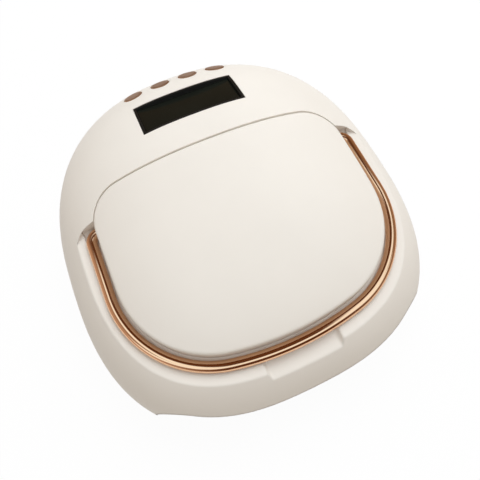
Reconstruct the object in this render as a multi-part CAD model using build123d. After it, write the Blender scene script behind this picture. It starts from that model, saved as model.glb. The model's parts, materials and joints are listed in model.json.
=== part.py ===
from build123d import *
import math
import os

os.makedirs("parts", exist_ok=True)

# Cordless nail lamp with a folding carry handle, in millimetres.
# X runs to the right, the hand opening faces -Y and Z points up.
# The origin is on the table, under the middle of the body's outline.

# Dome: the outline on the table and the rise of the crown over it
body_width = 221.0
body_length = 235.3
crown_height = 89.3
crown_rise = 0.115
front_squareness = 2.745
back_squareness = 2.395
crown_flatness = 2.10
shoulder_squareness = 3.47
ring_count = 17
ring_bunching = 1.5
ring_points = 40
seam_angle = math.radians(140)
last_lift = math.radians(88.6)
lip_rounds = 4
slope_step = 0.5

# Housing walls
shell_wall = 2.5
foot_height = 1.0
seam_gap = 0.15
part_gap = 0.3

# Deck under the cover, with the ledge that carries the handle
deck_height = 64.7
deck_tilt = 6.0
deck_wall = 4.0
ledge_end = 11.5
ledge_half_width = 93.0
ledge_corner = 11.0
ledge_front = -130.0

# Handle: a bent tube whose centreline is a U of tangent arcs
tube_radius = 3.1
handle_half_width = 83.0
handle_front = -92.4
handle_corner_radius = 58.9
handle_straight_end = -31.0
handle_lift = 1.6
pivot_line = 8.2
elbow_radius = 6.0
pin_end = 58.0
channel_gap = 0.4
pivot_relief = 0.7
running_gap = 0.05

# Bushes that the handle turns in, and the saddles that hold them
bush_inner_face = 61.0
bush_outer_face = 70.0
bush_radius = 4.3
bush_flange_radius = 5.2
bush_flange = 1.5
saddle_depth = 8.0
saddle_rise = 7.5
saddle_half_length = 6.0
saddle_margin = 3.0
clip_radius = 4.8
clip_thickness = 1.0

# Cover plate
cover_wall = 2.2
cover_inset = 5.2
cover_back = 25.3
cover_corner = 20.0
cover_edge_radius = 2.2
cover_foot_gap = 0.15
post_radius = 4.0
post_places = [(58.0, -30.0), (50.0, 12.0)]

# Finger notch in the front of the ledge
notch_half_width = 20.5
notch_flare = 3.0
notch_depth = 2.6
notch_inner_end = -89.0

# Hand opening in the front wall
mouth_height = 35.0
mouth_dip = 5.5
mouth_top_half_width = 83.0
mouth_floor_half_width = 90.0
mouth_corner = 20.0
mouth_back = -60.0

# Display
display_y = 58.5
display_width = 64.3
display_depth = 26.2
bezel_wall = 1.4
bezel_height = 8.0
bezel_flange = 2.0
bezel_flange_thickness = 1.4
window_recess = 3.6
window_thickness = 1.5
window_seat = 1.0
digit_block_height = 4.0
digit_margin = 2.0
board_thickness = 1.6
display_board_margin = 4.0

# Timer buttons
button_count = 4
button_pitch = 19.15
button_y = 89.3
button_radius = 6.35
button_proud = 0.4
button_travel = 0.8
button_flange_radius = 7.5
button_flange = 1.4
stem_radius = 2.0
stem_reach = 9.6
switch_side = 6.0
switch_height = 3.5
plunger_radius = 1.7
plunger_height = 1.5
key_board_half_length = 45.0
key_board_half_width = 8.0
key_post_place = 41.0
board_post_radius = 2.8

# Small screws
screw_radius = 1.25
screw_head_radius = 2.4
screw_head = 1.4
screw_length = 6.0
screw_gap = 0.05

# Base frame
frame_bottom = 1.5
frame_thickness = 3.5
frame_front = -96.0
frame_front_radius = 600.0
frame_skin = 1.6
boss_radius = 4.2
boss_places = [(96.5, -33.0), (96.5, 24.0), (56.0, 87.0)]
vent_count = 7
vent_pitch = 7.0
vent_length = 16.0
vent_width = 2.4
vent_row = 74.0
rubber_radius = 6.0
rubber_height = 2.5
rubber_places = [(85.0, -66.0), (66.0, 73.0)]

# Removable floor tray, held up by magnets
tray_half_width = 66.0
tray_front = -82.0
tray_back = 56.0
tray_corner = 18.0
tray_rim = 8.0
tray_rim_thickness = 1.9
tray_bottom = 1.5
tray_gap = 0.4
magnet_radius = 3.5
magnet_thickness = 1.0
magnet_skin = 0.3

# Reflector over the hand
liner_half_width = 88.0
liner_front = -125.0
liner_back = 73.0
liner_corner = 62.0
liner_top = 46.0
liner_draft = 8.0
liner_wall = 2.0
liner_fillet = 14.0
liner_flange = 5.0
liner_flange_thickness = 1.5

# Light-emitting diodes behind the reflector
bead_radius = 2.6
bead_hole_gap = 0.3
bead_reach = 0.6
bead_bevel = 0.7
top_bead_pitch = 28.0
top_bead_count = 4
top_bead_front = -68.0
top_board_half_width = 58.0
top_board_front = -88.0
top_board_back = 26.0
side_bead_count = 5
side_bead_pitch = 22.0
side_bead_middle = -26.0
strip_height = 14.0
strip_middle = 24.0
strip_end = 8.0
back_bead_count = 3
back_bead_pitch = 20.0
sensor_spread = 12.0
sensor_y = -81.0
sensor_radius = 2.2

# Battery on the deck, under the cover
cell_radius = 7.1
cell_length = 50.0
cell_count = 4
cell_pitch = 15.4
cell_gap = 0.1
cell_cap_radius = 2.8
cell_cap = 0.8
holder_floor = 1.5
holder_wall = 2.0
holder_height = 7.5
holder_middle = -12.0

# Power board and charging inlet at the back
power_half_width = 34.0
power_front = 82.2
power_back = 107.2
power_lift = 4.0
power_post_radius = 3.0
power_post_margin = 4.0
inlet_height = 16.5
inlet_body_width = 9.0
inlet_body_length = 12.0
inlet_recess = 0.6
inlet_nose_radius = 4.0
inlet_bore_radius = 2.8
inlet_bore_depth = 9.0
inlet_pin_radius = 1.0
coil_radius = 4.5
coil_height = 7.0
coil_place = 18.0

# Sizes that follow from the ones above
half_width = body_width / 2
half_length = body_length / 2
deck_slope = math.tan(math.radians(deck_tilt))
handle_height = deck_height + handle_lift / math.cos(math.radians(deck_tilt))
frame_top = frame_bottom + frame_thickness
far = 2 * body_length


def lip_y():
    """Where the front lip of the mouth meets the dome on the middle line."""
    y = -half_length
    for _ in range(lip_rounds):
        share = (mouth_height / (crown_height + crown_rise * y)) ** shoulder_squareness
        y = -half_length * (1 - share) ** (1 / crown_flatness)
    return y


# The origin is under the middle of the body, which ends at the lip in front
middle_y = (half_length + lip_y()) / 2


def outline_radius(angle, inset):
    """Distance from the middle to the dome's outline on the table."""
    squareness = back_squareness if math.sin(angle) >= 0 else front_squareness
    across = abs(math.cos(angle) / (half_width - inset)) ** squareness
    along = abs(math.sin(angle) / (half_length - inset)) ** squareness
    return (across + along) ** (-1 / squareness)


def crown_z(x, y, inset=0.0):
    """Height of the dome over a point of the plan."""
    spread = math.hypot(x, y) / outline_radius(math.atan2(y, x), inset)
    share = (1 - spread**crown_flatness) ** (1 / shoulder_squareness)
    return share * (crown_height - inset + crown_rise * y)


def dome_ring(lift, inset):
    """One level ring of the dome: lift runs from 0 on the table to a quarter turn at the crown."""
    spread = math.cos(lift) ** (2 / crown_flatness)
    share = math.sin(lift) ** (2 / shoulder_squareness)
    points = []
    for index in range(ring_points):
        angle = seam_angle + 2 * math.pi * index / ring_points
        radius = spread * outline_radius(angle, inset)
        x = radius * math.cos(angle)
        y = radius * math.sin(angle)
        points.append((x, y, share * (crown_height - inset + crown_rise * y)))
    return Wire([Spline(*points, periodic=True)])


def dome(inset=0.0):
    """Solid dome, drawn in by inset on every side."""
    lifts = [last_lift * (index / (ring_count - 1)) ** ring_bunching for index in range(ring_count)]
    return Solid.make_loft([dome_ring(lift, inset) for lift in lifts])


def crown_plane(x, y):
    """Plane that touches the dome over a point of the plan, with its own Z outward."""
    slope_x = (crown_z(x + slope_step, y) - crown_z(x - slope_step, y)) / (2 * slope_step)
    slope_y = (crown_z(x, y + slope_step) - crown_z(x, y - slope_step)) / (2 * slope_step)
    return Plane(origin=(x, y, crown_z(x, y)), x_dir=(1, 0, slope_x), z_dir=(-slope_x, -slope_y, 1))


def tilted_plane(height):
    """Plane parallel to the deck, at a height over the origin."""
    tilt = math.radians(deck_tilt)
    return Plane(origin=(0, 0, height), x_dir=(1, 0, 0), z_dir=(0, -math.sin(tilt), math.cos(tilt)))


def above_deck(offset=0.0):
    """Everything over the deck's plane, as one large block."""
    return tilted_plane(deck_height + offset) * Pos(0, 0, far / 2) * Box(far, far, far)


def column(sketch):
    """A plan outline drawn up through the whole body."""
    return extrude(sketch, amount=2 * crown_height, dir=(0, 0, 1))


def box_between(low, high):
    """Box from its lowest to its highest corner."""
    size = [b - a for a, b in zip(low, high)]
    middle = [(a + b) / 2 for a, b in zip(low, high)]
    return Pos(*middle) * Box(*size)


def rod(radius, bottom, top):
    """Upright cylinder between two heights of its plane."""
    return Pos(0, 0, (bottom + top) / 2) * Cylinder(radius, top - bottom)


def both_sides(shape):
    """A shape and its mirror image across the middle of the lamp."""
    return [shape, mirror(shape, about=Plane.YZ)]


def bow_edges(offset, back):
    """U of tangent arcs beside the handle's centreline, from back on the right to back on the left."""
    rise = handle_straight_end - handle_front
    reach = handle_half_width - handle_corner_radius
    front_radius = (reach**2 + rise**2 - handle_corner_radius**2) / (2 * (rise - handle_corner_radius))
    corner = Vector(reach, handle_straight_end)
    front = Vector(0, handle_front + front_radius)
    away = (corner - front).normalized()
    turn = math.atan2(away.Y, away.X)
    small = handle_corner_radius + offset
    joint = front + away * (front_radius + offset)
    middle = corner + Vector(math.cos(turn / 2), math.sin(turn / 2)) * small
    side = Vector(handle_half_width + offset, handle_straight_end)
    nose = Vector(0, handle_front - offset)

    def left(point):
        return Vector(-point.X, point.Y)

    return [
        Line((side.X, back), side),
        ThreePointArc(side, middle, joint),
        ThreePointArc(joint, nose, left(joint)),
        ThreePointArc(left(joint), left(middle), left(side)),
        Line(left(side), (-side.X, back)),
    ]


def cover_sketch(offset=0.0):
    """Plan outline of the cover, made larger by offset."""
    edges = bow_edges(offset - cover_inset, 0.0)
    side = handle_half_width - cover_inset + offset
    back = cover_back + offset
    corner = cover_corner + offset
    edges.append(Line((side, 0), (side, back - corner)))
    edges.append(Line((-side, 0), (-side, back - corner)))
    edges.append(Line((side - corner, back), (corner - side, back)))
    bend = corner * (1 - math.cos(math.pi / 4))
    for sign in (1, -1):
        start = (sign * side, back - corner)
        end = (sign * (side - corner), back)
        edges.append(ThreePointArc(start, (sign * (side - bend), back - bend), end))
    return make_face(edges)


def ledge_sketch(offset=0.0):
    """Plan outline of the ledge, with its rounded ends beside the handle's elbows."""
    width = 2 * (ledge_half_width + offset)
    length = ledge_end + offset - ledge_front
    plate = Pos(0, ledge_front + length / 2) * Rectangle(width, length)
    corners = plate.vertices().sort_by(Axis.Y)[-2:]
    return fillet(corners, ledge_corner + offset)


def deck_cutter(wall, depth):
    """What is taken away over the deck; wall and depth grow it for the inside of the shell."""
    outline = cover_sketch(seam_gap + wall) + ledge_sketch(wall)
    return column(outline) & above_deck(-depth)


def mouth_cutter():
    """Arched hand opening through the front wall; its lip dips in the middle."""
    right_foot = (mouth_floor_half_width, -foot_height)
    left_foot = (-mouth_floor_half_width, -foot_height)
    right_top = (mouth_top_half_width, mouth_height + mouth_dip)
    left_top = (-mouth_top_half_width, mouth_height + mouth_dip)
    arch = make_face([
        ThreePointArc(left_top, (0, mouth_height), right_top),
        Line(right_top, right_foot),
        Line(right_foot, left_foot),
        Line(left_foot, left_top),
    ])
    arch = fillet(arch.vertices().sort_by(Axis.Y)[-2:], mouth_corner)
    front = Plane(origin=(0, mouth_back, 0), x_dir=(1, 0, 0), z_dir=(0, -1, 0))
    return extrude(front * arch, amount=half_length)


def handle_wire():
    """Centreline of the bent tube in its own plane, from one pin end to the other."""
    bend_y = pivot_line - elbow_radius
    edges = bow_edges(0.0, bend_y)
    start = handle_half_width - elbow_radius
    shift = elbow_radius * (1 - math.sin(math.pi / 4))
    for sign in (1, -1):
        side = (sign * handle_half_width, bend_y)
        middle = (sign * (handle_half_width - shift), pivot_line - shift)
        pin = (sign * start, pivot_line)
        edges.append(ThreePointArc(side, middle, pin))
        edges.append(Line(pin, (sign * pin_end, pivot_line)))
    return Wire(edges)


def bent_tube(radius):
    """Round bar along the handle's centreline."""
    plane = tilted_plane(handle_height)
    start = Plane(origin=(pin_end, pivot_line, 0), x_dir=(0, 1, 0), z_dir=(1, 0, 0))
    return plane * sweep(start * Circle(radius), path=handle_wire())


def pivot_plane(x):
    """Plane across the pivot pin, with its Z along X."""
    y = pivot_line * math.cos(math.radians(deck_tilt))
    z = handle_height + pivot_line * math.sin(math.radians(deck_tilt))
    return Plane(origin=(x, y, z), x_dir=(0, 1, 0), z_dir=(1, 0, 0))


def notch_cutter():
    """Scoop in the ledge for a fingertip, with slanted ends."""
    top = notch_half_width + notch_flare
    points = [
        (-notch_half_width, -notch_depth),
        (-top, notch_depth),
        (top, notch_depth),
        (notch_half_width, -notch_depth),
    ]
    section = make_face(Polyline(*points, close=True))
    section = fillet(section.vertices().sort_by(Axis.Y)[:2], notch_depth / 2)
    deck = tilted_plane(deck_height)
    start = Plane(origin=(0, notch_inner_end, 0), x_dir=(1, 0, 0), z_dir=(0, -1, 0))
    return deck * extrude(start * section, amount=-ledge_front + notch_inner_end)


def display_plane():
    return crown_plane(0, display_y)


def display_block(margin, top, bottom):
    """Box in line with the display, between two depths under the crown."""
    width = display_width + 2 * margin
    depth = display_depth + 2 * margin
    return display_plane() * Pos(0, 0, -(top + bottom) / 2) * Box(width, depth, bottom - top)


def key_plane(index):
    """Plane of one timer button; they all slide the same way."""
    middle = crown_plane(0, button_y)
    x = (index - (button_count - 1) / 2) * button_pitch
    return middle * Pos(x, 0, 0)


def key_board_top():
    """Depth of the switch board's face under the crown."""
    return stem_reach + button_travel + part_gap + plunger_height + switch_height


def display_board_top():
    """Depth of the display board's face under the crown."""
    return bezel_height + part_gap + digit_block_height


def display_posts():
    x = display_width / 2 + display_board_margin + board_post_radius
    return [Pos(x, 0, 0), Pos(-x, 0, 0)]


def saddles():
    """Blocks on the deck that hold the bushes, each on a pad that thickens the deck under the pin."""
    pad = box_between(
        (pin_end - saddle_margin, -saddle_half_length, -saddle_depth),
        (bush_outer_face + bush_flange + saddle_margin, saddle_half_length, -handle_lift),
    )
    block = box_between(
        (bush_inner_face, -saddle_half_length, -saddle_depth),
        (bush_outer_face, saddle_half_length, saddle_rise),
    )
    return both_sides(Pos(pivot_plane(0).origin) * (pad + block))


def pin_pockets():
    """Room for the pin, its bush and its clip in the saddle."""
    seat = rod(bush_radius, bush_inner_face, bush_outer_face)
    flange_top = bush_outer_face + bush_flange + part_gap
    flange = rod(bush_flange_radius + part_gap, bush_outer_face, flange_top)
    clip = rod(clip_radius + part_gap, pin_end - saddle_margin, bush_inner_face)
    relief = rod(tube_radius + pivot_relief, bush_outer_face, handle_half_width + tube_radius)
    return both_sides(pivot_plane(0) * (seat + flange + clip + relief))


def boss_points():
    return [(sign * x, y) for x, y in boss_places for sign in (1, -1)]


def post_points():
    return [(sign * x, y) for x, y in post_places for sign in (1, -1)]


def housing_shell(outside, inside):
    body = outside - deck_cutter(0, 0)
    hollow = inside - deck_cutter(shell_wall, deck_wall)
    shell = body - hollow
    for x, y in boss_points():
        shell += Pos(x, y) * rod(boss_radius, frame_top, crown_height) & hollow
    for saddle in saddles():
        shell += saddle
    depth = key_board_top()
    for sign in (1, -1):
        post = crown_plane(0, button_y) * Pos(sign * key_post_place, 0) * rod(board_post_radius, -depth, 0)
        shell += post & hollow
    for place in display_posts():
        post = display_plane() * place * rod(board_post_radius, -display_board_top(), 0)
        shell += post & hollow
    shell -= box_between((-far, -far, -far), (far, far, foot_height))
    shell -= mouth_cutter()
    shell -= bent_tube(tube_radius + channel_gap)
    shell -= notch_cutter()
    shell -= display_block(part_gap, -bezel_height, bezel_height)
    for index in range(button_count):
        shell -= key_plane(index) * rod(button_radius + part_gap, -bezel_height, bezel_height)
    for pocket in pin_pockets():
        shell -= pocket
    for x, y in boss_points():
        shell -= Pos(x, y) * rod(screw_radius + screw_gap, 0, frame_top + screw_length)
    for x, y in post_points():
        shell -= Pos(x, y) * rod(screw_radius + part_gap, liner_top, crown_height)
    hole = screw_radius + screw_gap
    for sign in (1, -1):
        place = crown_plane(0, button_y) * Pos(sign * key_post_place, 0)
        shell -= place * rod(hole, -depth, screw_length - depth)
    depth = display_board_top()
    for place in display_posts():
        shell -= display_plane() * place * rod(hole, -depth, screw_length - depth)
    inlet = Plane(origin=(0, power_back, inlet_height), x_dir=(1, 0, 0), z_dir=(0, 1, 0))
    shell -= inlet * rod(inlet_nose_radius + part_gap, 0, half_length)
    return shell


def top_cover(outside):
    skin = outside & column(cover_sketch()) & above_deck(cover_foot_gap)
    long_edges = [edge for edge in skin.edges() if edge.length > handle_corner_radius / 2]
    front = [edge for edge in long_edges if edge.center().Y < 0]
    rim = [edge for edge in front if above_line(edge.center()) > cover_wall]
    skin = fillet(rim, cover_edge_radius)
    hollow = dome(cover_wall) & column(cover_sketch(-cover_wall)) & above_deck(-cover_wall)
    cover = skin - hollow
    under_skin = dome(cover_wall / 2) & above_deck(cover_foot_gap)
    for x, y in post_points():
        cover += Pos(x, y) * rod(post_radius, deck_height / 2, crown_height) & under_skin
    slot = pivot_plane(0) * rod(tube_radius + pivot_relief, bush_outer_face, half_width)
    for cut in both_sides(slot):
        cover -= cut
        cover -= Pos(0, 0, -tube_radius) * cut
    for x, y in post_points():
        cover -= Pos(x, y) * rod(screw_radius + screw_gap, 0, deck_height + deck_slope * y + screw_length)
    return cover


def above_line(point):
    """Height of a point over the deck's plane."""
    return point.Z - deck_height - deck_slope * point.Y


def upright_screw(x, y, seat):
    """Screw from below: head under seat, shank up through it."""
    head = rod(screw_head_radius, seat - screw_head, seat)
    return Pos(x, y) * (head + rod(screw_radius, seat, seat + screw_length))


def deck_under(y):
    """Underside of the deck."""
    return deck_height + deck_slope * y - deck_wall / math.cos(math.radians(deck_tilt))


def cover_screws():
    length = deck_wall + screw_length
    screws = []
    for x, y in post_points():
        seat = deck_under(y) - screw_head_radius * deck_slope
        head = rod(screw_head_radius, seat - screw_head, seat)
        screws.append(Pos(x, y) * (head + rod(screw_radius, seat, seat + length - screw_gap)))
    return screws


def carry_handle():
    return bent_tube(tube_radius)


def handle_bush():
    body = rod(bush_radius, bush_inner_face, bush_outer_face)
    flange = rod(bush_flange_radius, bush_outer_face, bush_outer_face + bush_flange)
    bore = rod(tube_radius + running_gap, 0, half_width)
    return pivot_plane(0) * (body + flange - bore)


def handle_clips():
    far_face = bush_inner_face - part_gap
    ring = rod(clip_radius, far_face - clip_thickness, far_face) - rod(tube_radius, 0, half_width)
    return both_sides(pivot_plane(0) * ring)


def display_bezel():
    frame = display_block(0, -bezel_height, bezel_height) & dome(part_gap / 2)
    flange = display_block(bezel_flange, 0, shell_wall + 2 * bezel_flange_thickness) & dome(shell_wall)
    opening = display_block(-bezel_wall, -bezel_height, window_recess + window_thickness)
    light = display_block(-bezel_wall - window_seat, 0, 2 * bezel_height)
    return frame + flange - opening - light


def display_window():
    return display_block(-bezel_wall, window_recess, window_recess + window_thickness)


def display_module():
    digits = display_block(-digit_margin, bezel_height, display_board_top())
    plate_width = display_width + 4 * (display_board_margin + board_post_radius)
    top = display_board_top()
    board = Box(plate_width, display_depth, board_thickness)
    board = display_plane() * Pos(0, 0, -top - board_thickness / 2) * board
    for place in display_posts():
        board -= display_plane() * place * rod(screw_radius + screw_gap, -2 * top, 0)
    return digits + board


def timer_button(index):
    plane = key_plane(index)
    cap = plane * rod(button_radius, -bezel_height, bezel_height) & dome(-button_proud)
    under = dome(shell_wall + part_gap)
    low = dome(shell_wall + part_gap + button_flange)
    flange = plane * rod(button_flange_radius, -stem_reach, bezel_height) & under
    stem = plane * rod(stem_radius, -stem_reach, -shell_wall)
    return (cap + flange) - (low & plane * rod(2 * button_radius, -2 * stem_reach, bezel_height)) + stem


def key_board():
    top = -key_board_top()
    plane = crown_plane(0, button_y)
    board = Box(2 * key_board_half_length, 2 * key_board_half_width, board_thickness)
    board = plane * Pos(0, 0, top - board_thickness / 2) * board
    for sign in (1, -1):
        board -= plane * Pos(sign * key_post_place, 0) * rod(screw_radius + screw_gap, 2 * top, 0)
    return board


def tact_switches():
    switches = []
    top = -key_board_top()
    for index in range(button_count):
        body = Pos(0, 0, top + switch_height / 2) * Box(switch_side, switch_side, switch_height)
        plunger = rod(plunger_radius, top + switch_height, top + switch_height + plunger_height)
        switches.append(key_plane(index) * (body + plunger))
    return switches


def board_screws():
    """Screws that hold the display board, the switch board and the power board."""
    screw = rod(screw_head_radius, -screw_head, 0) + rod(screw_radius, 0, screw_length - screw_gap)
    screws = []
    for place in display_posts():
        screws.append(display_plane() * place * Pos(0, 0, -display_board_top() - board_thickness) * screw)
    for sign in (1, -1):
        place = Pos(sign * key_post_place, 0, -key_board_top() - board_thickness)
        screws.append(crown_plane(0, button_y) * place * screw)
    for x, y in power_post_points():
        turned = Rot(180, 0, 0) * screw
        screws.append(Pos(x, y, frame_top + power_lift + board_thickness) * turned)
    return screws


def liner_sketch(offset=0.0):
    """Plan outline of the reflector on the base frame: straight sides and a rounded back."""
    width = 2 * (liner_half_width + offset)
    length = liner_back + offset - liner_front
    plate = Pos(0, liner_front + length / 2) * Rectangle(width, length)
    return fillet(plate.vertices().sort_by(Axis.Y)[-2:], liner_corner + offset)


def liner_block(inset):
    """Drafted block with a rounded top, from the base frame up."""
    height = liner_top - inset - frame_top
    block = extrude(Pos(0, 0, frame_top) * liner_sketch(-inset), amount=height, taper=liner_draft)
    top = block.faces().sort_by(Axis.Z)[-1]
    edges = [edge for edge in top.edges() if edge.center().Y > liner_front + height]
    return fillet(edges, liner_fillet - inset)


def side_strip_plane():
    """Plane on the outside of the reflector's right wall, with its Z into the hand space."""
    draft = math.radians(liner_draft)
    x = liner_half_width - (strip_middle - frame_top) * math.tan(draft)
    into = (-math.cos(draft), 0, -math.sin(draft))
    return Plane(origin=(x, side_bead_middle, strip_middle), x_dir=(0, 1, 0), z_dir=into)


def back_strip_plane():
    """Plane on the outside of the reflector's back wall, with its Z into the hand space."""
    draft = math.radians(liner_draft)
    y = liner_back - (strip_middle - frame_top) * math.tan(draft)
    into = (0, -math.cos(draft), -math.sin(draft))
    return Plane(origin=(0, y, strip_middle), x_dir=(1, 0, 0), z_dir=into)


def top_plane():
    """Plane on top of the reflector, with its Z down into the hand space."""
    return Plane(origin=(0, 0, liner_top), x_dir=(1, 0, 0), z_dir=(0, 0, -1))


def row(count, pitch):
    """Places along a line, spread evenly about its middle."""
    return [(index - (count - 1) / 2) * pitch for index in range(count)]


def top_beads():
    across = row(top_bead_count, top_bead_pitch)
    along = [top_bead_front + index * top_bead_pitch for index in range(top_bead_count)]
    return [top_plane() * Pos(x, -y) for x in across for y in along]


def side_beads():
    return [side_strip_plane() * Pos(place, 0) for place in row(side_bead_count, side_bead_pitch)]


def back_beads():
    return [back_strip_plane() * Pos(place, 0) for place in row(back_bead_count, back_bead_pitch)]


def sensor_places():
    return [top_plane() * Pos(x, -sensor_y) for x in (sensor_spread, -sensor_spread)]


def bead():
    """One diode with its clear lens, standing on its board."""
    tip = liner_wall + bead_reach
    return chamfer(rod(bead_radius, 0, tip).edges().sort_by(Axis.Z)[-1:], bead_bevel)


def reflector_liner(inside):
    shell = liner_block(0) - liner_block(liner_wall)
    flange = Pos(0, 0, frame_top) * liner_sketch(liner_flange)
    flange = extrude(flange, amount=liner_flange_thickness)
    flange -= extrude(Pos(0, 0, frame_top) * liner_sketch(-liner_wall / 2), amount=liner_flange_thickness)
    shell = (shell + flange) & inside
    hole = rod(bead_radius + bead_hole_gap, -liner_wall, 2 * liner_wall)
    for place in top_beads() + side_beads() + back_beads() + sensor_places():
        shell -= place * hole
    for place in side_beads():
        shell -= mirror(place * hole, about=Plane.YZ)
    for x, y in boss_points():
        shell -= Pos(x, y) * rod(boss_radius + part_gap, 0, crown_height)
    return shell


def led_board_top():
    return box_between(
        (-top_board_half_width, top_board_front, liner_top),
        (top_board_half_width, top_board_back, liner_top + board_thickness),
    )


def led_board_right():
    length = (side_bead_count - 1) * side_bead_pitch + 2 * strip_end
    return side_strip_plane() * Pos(0, 0, -board_thickness / 2) * Box(length, strip_height, board_thickness)


def led_board_back():
    length = (back_bead_count - 1) * back_bead_pitch + 2 * strip_end
    return back_strip_plane() * Pos(0, 0, -board_thickness / 2) * Box(length, strip_height, board_thickness)


def motion_sensors():
    tip = liner_wall + bead_reach / 2
    return [place * rod(sensor_radius, 0, tip) for place in sensor_places()]


def battery_holder():
    length = cell_length + 2 * (cell_gap + holder_wall + cell_cap)
    width = cell_count * cell_pitch + holder_wall
    block = Pos(0, holder_middle, holder_height / 2) * Box(length, width, holder_height)
    pocket = cell_length + 2 * (cell_gap + cell_cap)
    for y in row(cell_count, cell_pitch):
        seat = Rot(0, 90, 0) * Cylinder(cell_radius + cell_gap, pocket)
        block -= Pos(0, holder_middle + y, cell_axis()) * seat
    return tilted_plane(deck_height) * block


def cell_axis():
    """Height of the cells' axes over the deck."""
    return holder_floor + cell_radius + cell_gap


def battery_cells():
    deck = tilted_plane(deck_height)
    cells = []
    for index, y in enumerate(row(cell_count, cell_pitch)):
        turn = 90 if index % 2 == 0 else -90
        can = rod(cell_radius, -cell_length / 2, cell_length / 2)
        can = chamfer(can.edges(), cell_cap)
        cell = can + rod(cell_cap_radius, 0, cell_length / 2 + cell_cap)
        cells.append(deck * Pos(0, holder_middle + y, cell_axis()) * Rot(0, turn, 0) * cell)
    return cells


def frame_outline():
    """Plan of the base frame: inside the housing, with a gently bowed front edge."""
    inner = make_face(dome_ring(0, shell_wall + part_gap))
    bow = Pos(0, frame_front + frame_front_radius) * Circle(frame_front_radius)
    return inner & bow


def tray_sketch(offset=0.0):
    """Plan of the removable tray."""
    width = 2 * (tray_half_width + offset)
    length = tray_back - tray_front + 2 * offset
    return Pos(0, (tray_front + tray_back) / 2) * RectangleRounded(width, length, tray_corner + offset)


def magnet_points():
    x = tray_half_width + tray_rim / 2
    front = tray_front + 2 * tray_corner
    back = tray_back - 2 * tray_corner
    return [(sign * x, y) for sign in (1, -1) for y in (front, back)]


def frame_magnet_bottom():
    return tray_bottom + tray_rim_thickness + tray_gap + magnet_skin


def base_frame():
    frame = extrude(Pos(0, 0, frame_bottom) * frame_outline(), amount=frame_thickness)
    frame -= extrude(tray_sketch(tray_gap), amount=frame_top)
    frame -= extrude(tray_sketch(tray_rim + tray_gap), amount=tray_bottom + tray_rim_thickness + tray_gap)
    for x, y in rubber_points():
        frame -= Pos(x, y) * rod(rubber_radius, 0, rubber_height)
    for x, y in boss_points():
        frame -= Pos(x, y) * rod(screw_radius + part_gap, 0, crown_height)
        frame -= Pos(x, y) * rod(screw_head_radius + part_gap, 0, frame_top - frame_skin)
    for x in row(vent_count, vent_pitch):
        slot = Pos(x, vent_row) * Rot(0, 0, 90) * SlotOverall(vent_length, vent_width)
        frame -= extrude(slot, amount=frame_top)
    for x, y in power_post_points():
        frame += Pos(x, y) * rod(power_post_radius, frame_bottom, frame_top + power_lift)
        frame -= Pos(x, y) * rod(screw_radius + screw_gap, frame_bottom + frame_skin, crown_height)
    for x, y in magnet_points():
        frame -= Pos(x, y) * rod(magnet_radius, frame_magnet_bottom(), frame_top)
    return frame


def rubber_points():
    return [(sign * x, y) for x, y in rubber_places for sign in (1, -1)]


def base_tray():
    plate = extrude(Pos(0, 0, tray_bottom) * tray_sketch(), amount=frame_thickness)
    rim = extrude(Pos(0, 0, tray_bottom) * tray_sketch(tray_rim), amount=tray_rim_thickness)
    tray = plate + rim
    for x, y in magnet_points():
        top = tray_bottom + tray_rim_thickness
        tray -= Pos(x, y) * rod(magnet_radius, top - magnet_thickness, top)
    return tray


def tray_magnets():
    top = tray_bottom + tray_rim_thickness
    return [Pos(x, y) * rod(magnet_radius, top - magnet_thickness, top) for x, y in magnet_points()]


def frame_magnets():
    bottom = frame_magnet_bottom()
    return [Pos(x, y) * rod(magnet_radius, bottom, bottom + magnet_thickness) for x, y in magnet_points()]


def rubber_feet():
    return [Pos(x, y) * rod(rubber_radius, 0, rubber_height) for x, y in rubber_points()]


def base_screws():
    return [upright_screw(x, y, frame_top - frame_skin) for x, y in boss_points()]


def power_post_points():
    xs = (power_half_width - power_post_margin, power_post_margin - power_half_width)
    ys = (power_front + power_post_margin, power_back - power_post_margin)
    return [(x, y) for x in xs for y in ys]


def power_board():
    bottom = frame_top + power_lift
    board = box_between(
        (-power_half_width, power_front, bottom),
        (power_half_width, power_back, bottom + board_thickness),
    )
    for x, y in power_post_points():
        board -= Pos(x, y) * rod(screw_radius + screw_gap, 0, crown_height)
    top = bottom + board_thickness
    middle = (power_front + power_back) / 2
    for sign in (1, -1):
        board += Pos(sign * coil_place, middle) * rod(coil_radius, top, top + coil_height)
    return board


def dc_inlet():
    board_top = frame_top + power_lift + board_thickness
    nose_face = half_length - inlet_recess
    half = inlet_body_width / 2
    front = power_back - inlet_body_length
    body = box_between((-half, front, board_top), (half, power_back, inlet_height + half))
    plane = Plane(origin=(0, 0, inlet_height), x_dir=(1, 0, 0), z_dir=(0, 1, 0))
    nose = plane * rod(inlet_nose_radius, power_back, nose_face)
    bore = plane * rod(inlet_bore_radius, nose_face - inlet_bore_depth, nose_face)
    pin = plane * rod(inlet_pin_radius, nose_face - inlet_bore_depth, nose_face - inlet_recess)
    return body + nose - bore + pin


def save(name, shape):
    """Write one named piece; a list is saved as separate solids in one file."""
    place = Pos(0, -middle_y, 0)
    if isinstance(shape, list):
        shape = Compound(children=[place * solid for item in shape for solid in item.solids()])
    else:
        shape = place * shape
    shape.label = name
    export_step(shape, f"parts/{name}.step")


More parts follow.
